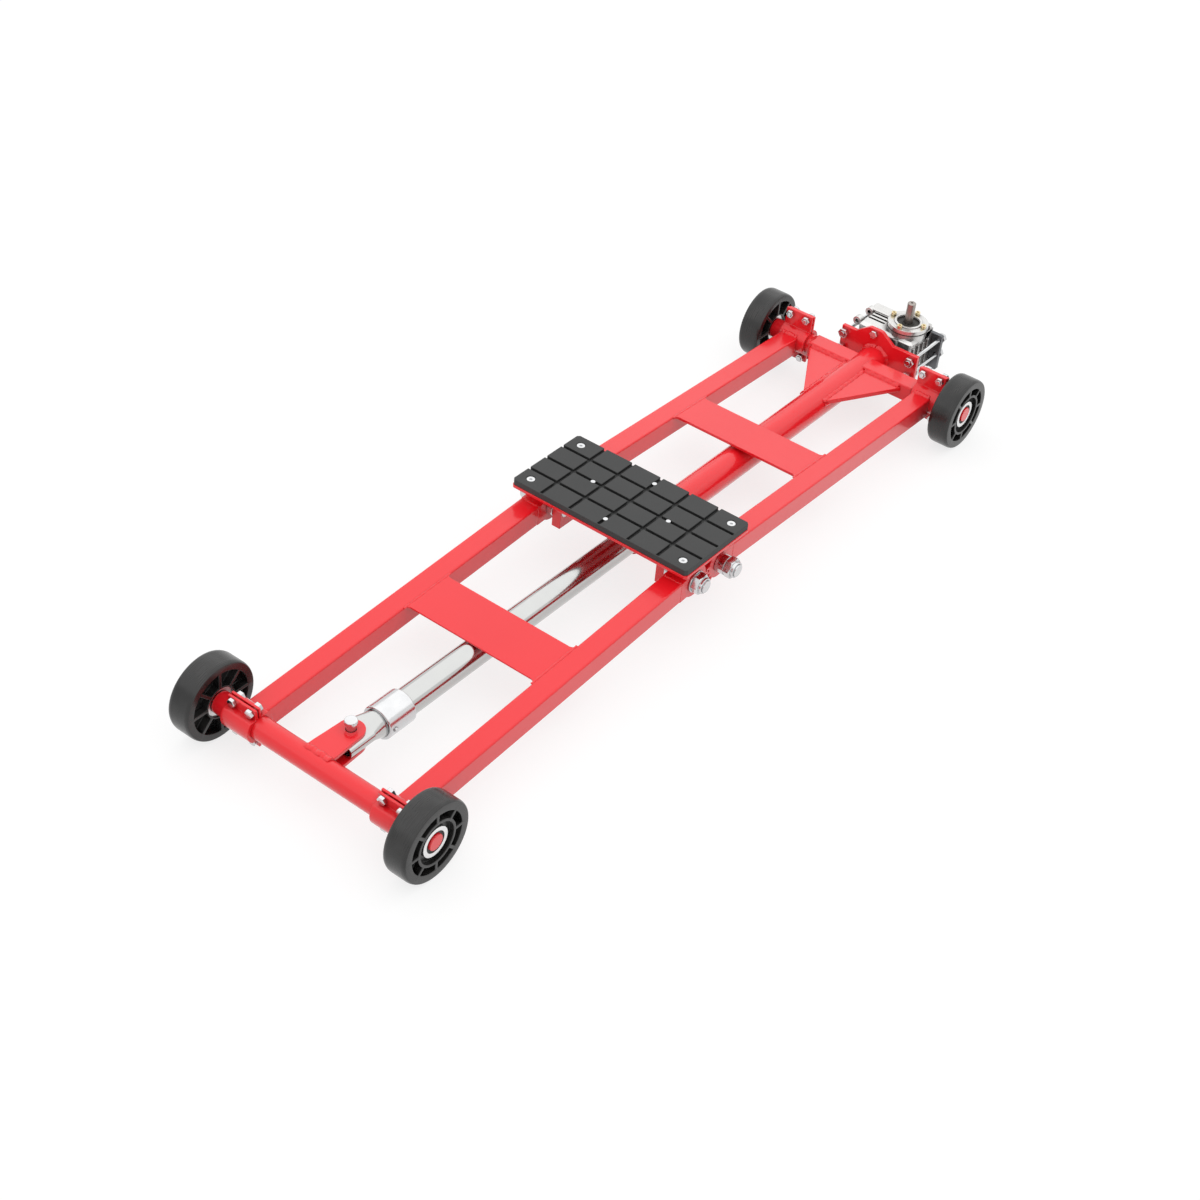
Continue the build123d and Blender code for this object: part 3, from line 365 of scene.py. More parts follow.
@dataclass(frozen=True)
class PlatedSteel(Finish):
    """Bright plating with faint clouds, fine scratches and painted shade in its corners."""

    color: Triple
    # The darker colour for the clouds and for the painted shade in corners.
    shade: Triple
    roughness: float
    scratch_depth: float = 0.00002
    grain: Triple = EVEN
    cloud_scale: float = 55.0
    cloud_share: float = 0.35
    cloud_haze: float = 0.1
    corner_reach: float = 0.006
    corner_share: float = 0.6
    scratch_scale: float = 900.0
    scratch_haze: float = 0.06
    edge_rounding: float = 0.0004

    def paint(self, graph: Graph) -> None:
        """Fill the plating's graph.

        Args:
            graph: The material's empty graph.
        """
        clouds = graph.noise(self.cloud_scale, detail=4.0)
        # Painted shade: corners darken towards the shade colour, on top of the random clouds.
        corners = graph.crevice_mask(self.corner_reach)
        scratches = graph.noise(self.scratch_scale, detail=2.0, stretch=self.grain)
        clouds_and_corner_shade = (clouds * self.cloud_share + corners * self.corner_share).clipped()
        haze = clouds * self.cloud_haze + scratches * self.scratch_haze
        rounded = graph.rounded(self.edge_rounding)
        graph.finish({
            "Base Color": graph.mix(clouds_and_corner_shade, self.color, self.shade),
            "Metallic": 1.0,
            "Roughness": self.roughness + haze,
            "Normal": graph.bump(scratches, self.scratch_depth, rounded),
        })


@dataclass(frozen=True)
class CastMetal(Finish):
    """Bright die-cast skin: fine grain, painted shade in its recesses and a painted highlight on
    its edges, partly polish.
    """

    color: Triple
    # The darker colour for the clouds and for the painted shade in recesses.
    shade: Triple
    # The lighter colour on edges: a painted highlight, partly polish.
    edge_color: Triple
    roughness: float
    metallic: float = 0.92
    grain_scale: float = 1100.0
    grain_depth: float = 0.00008
    grain_haze: float = 0.12
    cloud_scale: float = 38.0
    cloud_share: float = 0.2
    corner_reach: float = 0.012
    corner_gain: float = 1.6
    corner_haze: float = 0.2
    edge_reach: float = 0.0012
    edge_gain: float = 1.6
    edge_share: float = 0.5
    edge_rounding: float = 0.0009

    def paint(self, graph: Graph) -> None:
        """Fill the cast skin's graph.

        Args:
            graph: The material's empty graph.
        """
        grain = graph.noise(self.grain_scale, detail=3.0)
        clouds = graph.noise(self.cloud_scale, detail=5.0)
        # Painted shade: recesses darken towards the shade colour, on top of the random clouds.
        corners = graph.crevice_mask(self.corner_reach)
        clouds_and_corner_shade = (corners * self.corner_gain + clouds * self.cloud_share).clipped()
        color = graph.mix(clouds_and_corner_shade, self.color, self.shade)
        # Painted highlight on edges, partly polish.
        edges = graph.edge_mask(self.edge_reach, self.edge_gain) * self.edge_share
        haze = grain * self.grain_haze + corners * self.corner_haze
        rounded = graph.rounded(self.edge_rounding)
        graph.finish({
            "Base Color": graph.mix(edges, color, self.edge_color),
            "Metallic": self.metallic,
            "Roughness": self.roughness + haze,
            "Normal": graph.bump(grain, self.grain_depth, rounded),
        })


@dataclass(frozen=True)
class MouldedPolymer(Finish):
    """Moulded rubber or nylon: fine grain, dusty patches, painted shade in its grooves and
    pockets, and a painted highlight on its edges, partly wear.
    """

    color: Triple
    dust: Triple
    # The lighter colour on edges: a painted highlight, partly wear.
    edge_color: Triple
    roughness: float
    grain_scale: float
    relief: float
    stretch: Triple = EVEN
    # The colour that grooves and pockets darken to: painted shade.
    groove: Triple = (0.004, 0.004, 0.004)
    groove_reach: float = 0.008
    groove_gain: float = 3.0
    groove_start: float = 0.6
    patch_scale: float = 26.0
    patch_gain: float = 1.6
    patch_start: float = 0.5
    patch_haze: float = 0.12
    grain_haze: float = 0.1
    edge_reach: float = 0.0015
    edge_gain: float = 2.0
    edge_share: float = 0.6
    edge_rounding: float = 0.0008

    def paint(self, graph: Graph) -> None:
        """Fill the moulded skin's graph.

        Args:
            graph: The material's empty graph.
        """
        patches = graph.noise(self.patch_scale, detail=5.0)
        grain = graph.noise(self.grain_scale, detail=3.0, stretch=self.stretch)
        dusty = (patches * self.patch_gain - self.patch_start).clipped()
        body = graph.mix(dusty, self.color, self.dust)
        # Painted highlight on edges, partly wear.
        edges = graph.edge_mask(self.edge_reach, self.edge_gain) * self.edge_share
        with_edge_highlight_and_wear = graph.mix(edges, body, self.edge_color)
        # Painted shade: grooves and pockets darken towards the groove shade colour.
        groove_shade_mask = graph.crevice_mask(self.groove_reach) * self.groove_gain
        haze = patches * self.patch_haze + grain * self.grain_haze
        rounded = graph.rounded(self.edge_rounding)
        graph.finish({
            "Base Color": graph.mix((groove_shade_mask - self.groove_start).clipped(), with_edge_highlight_and_wear, self.groove),
            "Roughness": self.roughness + haze,
            "Normal": graph.bump(grain, self.relief, rounded),
        })


FINISHES: tuple[Finish, ...] = (
    GlossPaint(
        Slot.RED_PAINT,
        edge_width=0.0008,
        color=(0.91, 0.013, 0.022),
        shade=(0.75, 0.006, 0.012),
        # Painted shade in corners, and a painted highlight on edges, partly thin paint.
        recess=(0.44, 0.002, 0.005),
        edge_color=(0.95, 0.05, 0.060),
        roughness=0.30,
        coat=1.0,
        under_gloss=0.22,
    ),
    PlatedSteel(
        Slot.CHROME_TUBE,
        edge_width=0.0006,
        color=(0.54, 0.545, 0.535),
        shade=(0.44, 0.44, 0.44),
        roughness=0.07,
        scratch_depth=0.000002,
        grain=(0.04, 1.0, 1.0),
    ),
    PlatedSteel(
        Slot.ZINC_STEEL,
        edge_width=0.0007,
        color=(0.72, 0.725, 0.73),
        shade=(0.28, 0.285, 0.30),
        roughness=0.12,
    ),
    PlatedSteel(
        Slot.BEARING_STEEL,
        edge_width=0.0005,
        color=(0.86, 0.86, 0.86),
        shade=(0.62, 0.62, 0.62),
        roughness=0.24,
    ),
    MouldedPolymer(
        Slot.BLACK_NYLON,
        edge_width=0.0008,
        color=(0.005, 0.005, 0.005),
        dust=(0.036, 0.035, 0.034),
        # Its edge colour is a painted highlight, partly wear.
        edge_color=(0.10, 0.10, 0.10),
        roughness=0.16,
        grain_scale=600.0,
        relief=0.00002,
        stretch=(0.06, 1.0, 0.06),
    ),
    MouldedPolymer(
        Slot.PAD_RUBBER,
        edge_width=0.0008,
        color=(0.034, 0.035, 0.035),
        # Its edge colour is a painted highlight, partly wear.
        dust=(0.048, 0.048, 0.048),
        edge_color=(0.08, 0.08, 0.08),
        roughness=0.55,
        grain_scale=900.0,
        relief=0.00014,
    ),
    CastMetal(
        Slot.CAST_ALUMINIUM,
        edge_width=0.0004,
        color=(0.76, 0.755, 0.74),
        shade=(0.12, 0.105, 0.10),
        # Its edge colour is a painted highlight, partly polish.
        edge_color=(0.88, 0.875, 0.86),
        roughness=0.22,
    ),
    PlatedSteel(
        Slot.DARK_STEEL,
        edge_width=0.0006,
        color=(0.17, 0.175, 0.185),
        shade=(0.08, 0.083, 0.09),
        roughness=0.30,
        scratch_depth=0.00004,
    ),
    PlatedSteel(
        Slot.YELLOW_ZINC,
        edge_width=0.0004,
        color=(0.86, 0.74, 0.45),
        shade=(0.45, 0.33, 0.15),
        roughness=0.20,
    ),
    MouldedPolymer(
        Slot.SEAL_RUBBER,
        edge_width=0.0005,
        color=(0.018, 0.017, 0.014),
        dust=(0.035, 0.033, 0.028),
        # Its edge colour is a painted highlight, partly wear.
        edge_color=(0.06, 0.06, 0.05),
        roughness=0.40,
        grain_scale=900.0,
        relief=0.00010,
    ),
    PlatedSteel(
        Slot.BARE_STEEL,
        edge_width=0.0004,
        color=(0.40, 0.365, 0.34),
        shade=(0.18, 0.155, 0.14),
        roughness=0.30,
        grain=(1.0, 1.0, 0.05),
    ),
    PlatedSteel(
        Slot.BRONZE,
        edge_width=0.0004,
        color=(0.60, 0.42, 0.18),
        shade=(0.35, 0.22, 0.09),
        roughness=0.30,
    ),
)


class Workshop:
    """Makes materials once, and turns finished meshes into pieces that ride on their bodies."""

    MERGE_DISTANCE = 1e-6
    FLAT_ANGLE = math.radians(0.4)
    SHARP_ANGLE = math.radians(32.0)
    ROUNDING_SEGMENTS = 2
    PLAIN_CORNERS = 4

    def __init__(self) -> None:
        """Make every finish's material and read which slot and body each node has."""
        record = frame["record"]
        bodies = record["behaviour"]["bodies"]
        self.finishes = {finish.slot: finish for finish in FINISHES}
        self.materials = {slot: finish.material() for slot, finish in self.finishes.items()}
        self.node_slot = {row["node"]: Slot(row["material_slot"]) for row in record["subparts"]}
        self.node_body = {node: body for body, nodes in bodies.items() for node in nodes}

    def dress_node(self, node: str) -> None:
        """Give a node of the frame the material of its slot.

        Args:
            node: The node, which keeps its own mesh.
        """
        mesh = frame["nodes"][node].data
        mesh.materials.clear()
        mesh.materials.append(self.materials[self.node_slot[node]])
        LOG.info("dressed %s", node)

    def piece(
        self, name: str, shape: Shape, body: str, slot: Slot, flats: bool = True
    ) -> bpy.types.Object:
        """Turn a shape into a piece of the lift.

        Args:
            name: The piece's name.
            shape: Its mesh, which is freed.
            body: The body that it rides on.
            slot: The slot that it takes its finish from.
            flats: Whether it has flats and sharp edges, and isn't smooth all over.

        Returns:
            The new object.
        """
        mesh = bpy.data.meshes.new(name)
        shape.to_mesh(mesh)
        shape.free()
        mesh.shade_smooth()
        mesh.materials.append(self.materials[slot])
        thing = bpy.data.objects.new(name, mesh)
        bpy.context.scene.collection.objects.link(thing)
        if flats:
            mesh.set_sharp_from_angle(angle=self.SHARP_ANGLE)
            thing.modifiers.new("even_flats", "WEIGHTED_NORMAL").keep_sharp = True
        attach(thing, body)
        LOG.info("made %s on %s, %d faces", name, body, len(mesh.polygons))
        return thing

    def soften(self, *nodes: str) -> None:
        """Replace nodes by copies whose sharp edges are rounded."""
        for node in nodes:
            self.stand_in(node, self.copy(node))

    def copy(self, node: str) -> Shape:
        """Copy a node's mesh, merged, with each of its flats in one piece.

        Args:
            node: The node.

        Returns:
            The copy.
        """
        shape = bmesh.new()
        shape.from_mesh(frame["nodes"][node].data)
        bmesh.ops.remove_doubles(shape, verts=shape.verts, dist=self.MERGE_DISTANCE)
        bmesh.ops.dissolve_limit(
            shape, angle_limit=self.FLAT_ANGLE, verts=shape.verts, edges=shape.edges
        )
        return shape

    def stand_in(self, node: str, shape: Shape, rounded: bool = True) -> None:
        """Show a node's changed copy instead of the node.

        Args:
            node: The node.
            shape: Its copy.
            rounded: Whether the copy's sharp edges are rounded.
        """
        slot = self.node_slot[node]
        if rounded:
            self.round_edges(shape, self.finishes[slot].edge_width)
        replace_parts(self.piece(f"{node}_finished", shape, self.node_body[node], slot), node)

    def round_edges(self, shape: Shape, width: float) -> None:
        """Round every sharp edge of a shape to a width.

        Args:
            shape: The mesh. A corner that the bevel throws off its surface goes back onto it.
            width: Distance from the old edge to the edges of the rounding.
        """
        surface = BVHTree.FromBMesh(shape)
        sharp = [
            edge
            for edge in shape.edges
            if edge.is_manifold and edge.calc_face_angle() > self.SHARP_ANGLE
        ]
        made = bmesh.ops.bevel(
            shape,
            geom=sharp,
            offset=width,
            offset_type="OFFSET",
            segments=self.ROUNDING_SEGMENTS,
            profile=0.5,
            affect="EDGES",
            material=-1,
            clamp_overlap=False,
        )
        for vert in shape.verts:
            nearest, _, _, distance = surface.find_nearest(vert.co)
            if distance > width:
                vert.co = nearest
        self._refill(shape, set(made["faces"]))

    def _refill(self, shape: Shape, strips: set[bmesh.types.BMFace]) -> None:
        """Fill every wide flat again between its moved borders, so that it can't fold over itself.

        Args:
            shape: The mesh.
            strips: Its rounded edges, which stay as they are.
        """
        shape.normal_update()
        for face in shape.faces:
            face.tag = face not in strips
        flats = [
            self._flat(face)
            for face in shape.faces
            if face.tag and len(face.verts) > self.PLAIN_CORNERS
        ]
        for faces in flats:
            inside = set(faces)
            edges = list(dict.fromkeys(edge for face in faces for edge in face.edges))
            border = [edge for edge in edges if not inside.issuperset(edge.link_faces)]
            seams = [edge for edge in edges if inside.issuperset(edge.link_faces)]
            normal = max(faces, key=lambda face: face.calc_area()).normal.copy()
            bmesh.ops.delete(shape, geom=faces, context="FACES_ONLY")
            bmesh.ops.delete(shape, geom=seams, context="EDGES")
            bmesh.ops.triangle_fill(shape, use_beauty=True, edges=border, normal=normal)

    def _flat(self, seed: bmesh.types.BMFace) -> list[bmesh.types.BMFace]:
        """Collect the tagged faces in one plane round a face. They lose their tags.

        Args:
            seed: The face to start from.

        Returns:
            The faces, the seed among them.
        """
        seed.tag = False
        flat = [seed]
        for face in flat:
            for edge in face.edges:
                for other in edge.link_faces:
                    if other.tag and other.normal.angle(seed.normal, math.pi) < self.FLAT_ANGLE:
                        other.tag = False
                        flat.append(other)
        return flat

    @staticmethod
    def turn(shape: Shape, profile: Profile, place: Matrix, steps: int = 40) -> None:
        """Spin a closed profile into a ring.

        Args:
            shape: The mesh that the ring is added to.
            profile: Radius and height of the profile's corners, in order.
            place: Where the ring goes. Its axis is the place's own Z.
            steps: Faces round the ring.
        """
        kept = set(shape.verts)
        corners = [shape.verts.new((radius, 0.0, height)) for radius, height in profile]
        sides = [shape.edges.new(pair) for pair in zip(corners, corners[1:] + corners[:1])]
        bmesh.ops.spin(
            shape,
            geom=corners + sides,
            cent=(0.0, 0.0, 0.0),
            axis=UP,
            angle=math.tau,
            steps=steps,
            use_merge=True,
        )
        made = [vert for vert in shape.verts if vert not in kept]
        faces = list({face for vert in made for face in vert.link_faces})
        bmesh.ops.recalc_face_normals(shape, faces=faces)
        bmesh.ops.transform(shape, matrix=place, verts=made)

    @staticmethod
    def facing(origin: Vector, direction: Vector) -> Matrix:
        """A place at an origin whose Z points along a direction."""
        return Matrix.Translation(origin) @ direction.to_track_quat("Z", "Y").to_matrix().to_4x4()


@dataclass
class Welder:
    """Lays flattened, rippled weld beads into one shape."""

    seed: int
    ripple_pitch: float = 0.0052
    ripple_depth: float = 0.12
    wander: float = 0.05
    drift: float = 0.10
    drift_length: float = 3.3
    flatness: float = 0.55
    end_size: float = 0.55
    rings_per_ripple: int = 6
    fewest_rings: int = 4
    corners: int = 12

    def __post_init__(self) -> None:
        """Start an empty shape and a steady source of unevenness."""
        self.shape = bmesh.new()
        self.chance = random.Random(self.seed)
        self.phase = 0.0

    def line(self, start: Vector, end: Vector, into: Vector, radius: float) -> None:
        """Lay a straight bead.

        Args:
            start: Middle of the bead's first end.
            end: Middle of its other end.
            into: The way into the corner that the bead fills, along which it is flat.
            radius: Half of the bead's width.
        """
        count = self._ring_count((end - start).length)
        self._lay([(start.lerp(end, i / count), into) for i in range(count + 1)], radius)

    def ring(
        self, center: Vector, axis: Vector, reach: Vector, into: Vector, radius: float
    ) -> None:
        """Lay a bead round a circle.

        Args:
            center: The circle's centre.
            axis: The direction that it turns about.
            reach: From the centre to the bead's start.
            into: The way into the corner at the bead's start.
            radius: Half of the bead's width.
        """
        count = self._ring_count(math.tau * reach.length)
        turns = (Matrix.Rotation(math.tau * i / count, 3, axis) for i in range(count + 1))
        self._lay([(center + turn @ reach, turn @ into) for turn in turns], radius)

    def _ring_count(self, length: float) -> int:
        """How many rings a bead of a length has."""
        return max(self.fewest_rings, round(length / self.ripple_pitch * self.rings_per_ripple))

    def _lay(self, path: Path, radius: float) -> None:
        """Extrude a ring along a path, swelling with each ripple, and close both ends.

        Args:
            path: The bead's points, each with the way into the corner there.
            radius: Half of the bead's width.
        """
        ring = bmesh.ops.create_circle(
            self.shape, cap_ends=True, segments=self.corners, radius=radius
        )["verts"]
        self.phase = self.chance.random() * math.tau
        place = self._place(path, 0, radius)
        bmesh.ops.transform(self.shape, matrix=place, verts=ring)
        edges = list({edge for vert in ring for edge in vert.link_edges})
        for index in range(1, len(path)):
            grown = bmesh.ops.extrude_edge_only(self.shape, edges=edges)["geom"]
            verts = [item for item in grown if isinstance(item, bmesh.types.BMVert)]
            following = self._place(path, index, radius)
            bmesh.ops.transform(self.shape, matrix=following @ place.inverted(), verts=verts)
            fresh = set(verts)
            edges = [
                item
                for item in grown
                if isinstance(item, bmesh.types.BMEdge) and fresh.issuperset(item.verts)
            ]
            place = following
        bmesh.ops.contextual_create(self.shape, geom=edges)

    def _place(self, path: Path, index: int, radius: float) -> Matrix:
        """Work out where a bead's ring stands, and how wide it is there.

        Args:
            path: The bead's points, each with the way into the corner there.
            index: The ring's number along the path.
            radius: Half of the bead's width.

        Returns:
            The ring's place.
        """
        last = len(path) - 1
        point, into = path[index]
        along = (path[min(index + 1, last)][0] - path[max(index - 1, 0)][0]).normalized()
        across = along.cross(into).normalized()
        turn = Matrix((across.cross(along), across, along)).transposed().to_4x4()
        ripple = index / self.rings_per_ripple
        swell = self.ripple_depth * (abs(math.sin(math.pi * ripple)) - 0.5)
        size = 1.0 + swell + self.wander * (self.chance.random() - 0.5)
        if index in (0, last):
            size *= self.end_size
        angle = self.phase + math.tau * ripple / self.drift_length
        sway = radius * self.drift
        aside = Matrix.Translation((sway * math.sin(angle), sway * math.cos(angle), 0.0))
        squeeze = Matrix.Diagonal((size * self.flatness, size, 1.0, 1.0))
        return Matrix.Translation(point) @ turn @ aside @ squeeze

    def finish(self, shop: Workshop, name: str, body: str) -> None:
        """Turn the beads into one painted piece on a body."""
        bmesh.ops.recalc_face_normals(self.shape, faces=self.shape.faces)
        shop.piece(name, self.shape, body, Slot.RED_PAINT, flats=False)


def axle_center(end: End) -> Vector:
    """The middle of an end's axle, halfway between its wheels."""
    low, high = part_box(f"wheel_{end.word}_left")
    return Vector(((low.x + high.x) / 2, 0.0, (low.z + high.z) / 2))


def inner_side(node: str, side: Side) -> float:
    """The Y of the side of a node that faces the middle of the lift."""
    low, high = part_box(node)
    return low.y if side is Side.LEFT else high.y


@dataclass
class WheelSet:
    """Four nylon wheels with their bearings and the shields that close the bearings."""

    shield_inner: float = 0.0134
    shield_outer: float = 0.0168
    shield_sink: float = 0.0018
    shield_thickness: float = 0.0008
    shield_dish: float = 0.0004
    shoulder: float = 0.007
    shoulder_cut: float = 1.4

    def build(self, shop: Workshop) -> None:
        """Make all four wheels.

        Args:
            shop: The workshop that finishes them.
        """
        for end in End:
            for side in Side:
                name = f"{end.word}_{side.word}"
                self._tyre(shop, f"wheel_{name}")
                shop.soften(f"bearings_{name}")
                self._shields(shop, name)

    def _tyre(self, shop: Workshop, node: str) -> None:
        """Make a wheel whose rounded shoulders end in a crease on its faces.

        Args:
            shop: The workshop that finishes it.
            node: The wheel's node.
        """
        low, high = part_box(node)
        middle, half = (low + high) / 2, (high - low) / 2
        flat = half.y - self.shoulder
        shape = shop.copy(node)
        for vert in shape.verts:
            out = vert.co - middle
            beyond = abs(out.y) - flat
            if beyond > 0 and math.hypot(out.x, out.z) > half.x - self.shoulder:
                reach = min(beyond * self.shoulder_cut, self.shoulder)
                vert.co.y = middle.y + math.copysign(flat + reach, out.y)
        shop.stand_in(node, shape)

    def _shields(self, shop: Workshop, name: str) -> None:
        """Close both bearings of a wheel with dished rings.

        Args:
            shop: The workshop that finishes them.
            name: The wheel's end and side.
        """
        low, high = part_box(f"bearings_{name}")
        middle = (low + high) / 2
        mid_radius = (self.shield_inner + self.shield_outer) / 2
        profile = (
            (self.shield_inner, 0.0),
            (mid_radius, -self.shield_dish),
            (self.shield_outer, 0.0),
            (self.shield_outer, -self.shield_thickness),
            (mid_radius, -self.shield_dish - self.shield_thickness),
            (self.shield_inner, -self.shield_thickness),
        )
        shape = bmesh.new()
        for y, way in ((high.y, 1.0), (low.y, -1.0)):
            origin = Vector((middle.x, y - way * self.shield_sink, middle.z))
            shop.turn(shape, profile, shop.facing(origin, Vector((0.0, way, 0.0))))
        body = shop.node_body[f"wheel_{name}"]
        shop.piece(f"bearing_shields_{name}", shape, body, Slot.SEAL_RUBBER)


@dataclass
class ArmPair:
    """One pair of arms: rails, clamps, tooth sectors, the plate between the rails, and welds."""

    end: End
    rail_height: float = 0.036
    shell_radius: float = 0.024
    clamp_bead: float = 0.0045
    plate_bead: float = 0.0020
    sector_bead: float = 0.0024
    bead_margin: float = 0.002
    weld_seed: int = 20

    def build(self, shop: Workshop) -> None:
        """Make the arms and their welds.

        Args:
            shop: The workshop that finishes them.
        """
        end = self.end.word
        shop.soften(f"cross_plate_{end}", f"clamp_caps_{end}", f"clamp_bolts_{end}")
        welder = Welder(seed=self.weld_seed + self.end.value)
        for side in Side:
            name = f"{end}_{side.word}"
            shop.soften(f"rail_{name}", f"tooth_sector_{name}", f"clamp_{name}")
            self._weld_rail(welder, side)
        welder.finish(shop, f"arm_welds_{end}", shop.node_body[f"cross_plate_{end}"])

    def _rail_line(self, side: Side) -> tuple[Vector, Vector]:
        """Find the line along the middle of a rail's top.

        Args:
            side: The rail's side.

        Returns:
            Its ends at the axle and at the platform.
        """
        low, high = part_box(f"rail_{self.end.word}_{side.word}")
        near, far = (low.x, high.x) if self.end is End.IDLE else (high.x, low.x)
        middle = (low.y + high.y) / 2
        return Vector((near, middle, low.z + self.rail_height)), Vector((far, middle, high.z))

    def _weld_rail(self, welder: Welder, side: Side) -> None:
        """Weld one rail to its clamp, its cross plate and its tooth sector.

        Args:
            welder: Lays the beads.
            side: The rail's side.
        """
        rail = f"rail_{self.end.word}_{side.word}"
        low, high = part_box(rail)
        near, far = self._rail_line(side)
        slope = (far.z - near.z) / (far.x - near.x)
        axle = axle_center(self.end)
        width = Vector((0.0, (high.y - low.y) / 2 - self.bead_margin, 0.0))
        reach = math.sqrt(self.shell_radius**2 - (near.z - axle.z) ** 2)
        seam = Vector((axle.x + self.end.value * reach, near.y, near.z))
        to_clamp = Vector((-self.end.value, 0.0, -1.0))
        welder.line(seam - width, seam + width, to_clamp, self.clamp_bead)
        welder.line(far - width, far + width, -UP, self.sector_bead)
        plate_low, plate_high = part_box(f"cross_plate_{self.end.word}")
        inside = inner_side(rail, side)
        sink = self.plate_bead * welder.flatness / 2
        corners = (
            Vector((x, inside, near.z + slope * (x - near.x) - sink))
            for x in (plate_low.x, plate_high.x)
        )
        welder.line(*corners, -UP, self.plate_bead)


@dataclass
class Platform:
    """Lifting platform: plate, grooved rubber pad, screws, pivot ears, studs and nuts."""

    ear_bead: float = 0.005
    weld_seed: int = 31

    def build(self, shop: Workshop) -> None:
        """Make the platform and the welds of its ears.

        Args:
            shop: The workshop that finishes it.
        """
        shop.soften("platform_plate", "rubber_pad", "pad_screws")
        shop.soften("pivot_bolts", "pivot_spacers", "pivot_nuts")
        welder = Welder(seed=self.weld_seed)
        for side in Side:
            ear = f"pivot_ear_{side.word}"
            shop.soften(ear)
            low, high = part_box(ear)
            inside = inner_side(ear, side)
            start, end = (Vector((x, inside, high.z)) for x in (low.x, high.x))
            welder.line(start, end, Vector((0.0, side.value, 1.0)), self.ear_bead)
        welder.finish(shop, "platform_welds", shop.node_body["platform_plate"])


@dataclass
class ScrewDrive:
    """Screw tube on the gear axle: the tube, its gussets, the box beam and what turns inside."""

    tube_bead: float = 0.0038
    beam_bead: float = 0.0060
    flange_bead: float = 0.0060
    beam_margin: float = 0.004
    beam_end: float = 0.097
    beam_reach: float = 0.113
    beam_slack: float = 0.0005
    weld_seed: int = 41

    def build(self, shop: Workshop) -> None:
        """Make the tube's pieces and their welds.

        Args:
            shop: The workshop that finishes them.
        """
        shop.soften("screw_tube", "gussets")
        self._near_beam(shop)
        for node in ("axle_gear_left", "guide_bush", "thrust_bearing", "lead_screw"):
            shop.dress_node(node)
        self._weld(shop)

    def _near_beam(self, shop: Workshop) -> None:
        """Lead the right half of the box beam up to its clamp, as the photograph has it.

        Args:
            shop: The workshop that finishes it.
        """
        shape = shop.copy("axle_gear_right")
        for vert in shape.verts:
            if abs(vert.co.y + self.beam_end) < self.beam_slack:
                vert.co.y = -self.beam_reach
        shop.stand_in("axle_gear_right", shape, rounded=False)

    def _weld(self, shop: Workshop) -> None:
        """Weld the tube to its flange, and the gussets to the tube and the beam.

        Args:
            shop: The workshop that finishes the beads.
        """
        welder = Welder(seed=self.weld_seed)
        low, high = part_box("screw_tube")
        radius = (high.y - low.y) / 2
        center = Vector((high.x, 0.0, (low.z + high.z) / 2))
        axis = Vector((1.0, 0.0, 0.0))
        welder.ring(center, axis, UP * radius, axis - UP, self.flange_bead)
        gusset_low, gusset_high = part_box("gussets")
        for side in Side:
            for z, inward in ((gusset_low.z, 1.0), (gusset_high.z, -1.0)):
                rise = z - center.z
                beside = side.value * math.sqrt(radius**2 - rise**2)
                tip = Vector((gusset_low.x, beside, z))
                corner = Vector((gusset_high.x, beside, z))
                wing_end = side.value * (gusset_high.y - self.beam_margin)
                wing = Vector((gusset_high.x, wing_end, z))
                to_tube = Vector((0.0, -beside / radius, inward - rise / radius))
                welder.line(tip, corner, to_tube, self.tube_bead)
                welder.line(corner, wing, Vector((1.0, 0.0, inward)), self.beam_bead)
        welder.finish(shop, "screw_tube_welds", shop.node_body["screw_tube"])


@dataclass
class PushDrive:
    """Push tube on the idle axle: the bright tube, its sleeve, the clevis and their pins."""

    ear_bead: float = 0.0055
    axle_radius: float = 0.0175
    weld_seed: int = 51

    def build(self, shop: Workshop) -> None:
        """Make the push tube's pieces and the welds of the clevis.

        Args:
            shop: The workshop that finishes them.
        """
        shop.soften("axle_idle", "sleeve", "sleeve_pin", "clevis_ears", "clevis_pin")
        for node in ("push_tube", "drive_nut"):
            shop.dress_node(node)
        welder = Welder(seed=self.weld_seed)
        axle = axle_center(End.IDLE)
        low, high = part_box("clevis_ears")
        for z, into in ((low.z, UP), (high.z, -UP)):
            x = axle.x + math.sqrt(max(self.axle_radius**2 - (z - axle.z) ** 2, 0.0))
            welder.line(Vector((x, low.y, z)), Vector((x, high.y, z)), into, self.ear_bead)
        welder.finish(shop, "clevis_welds", shop.node_body["clevis_ears"])


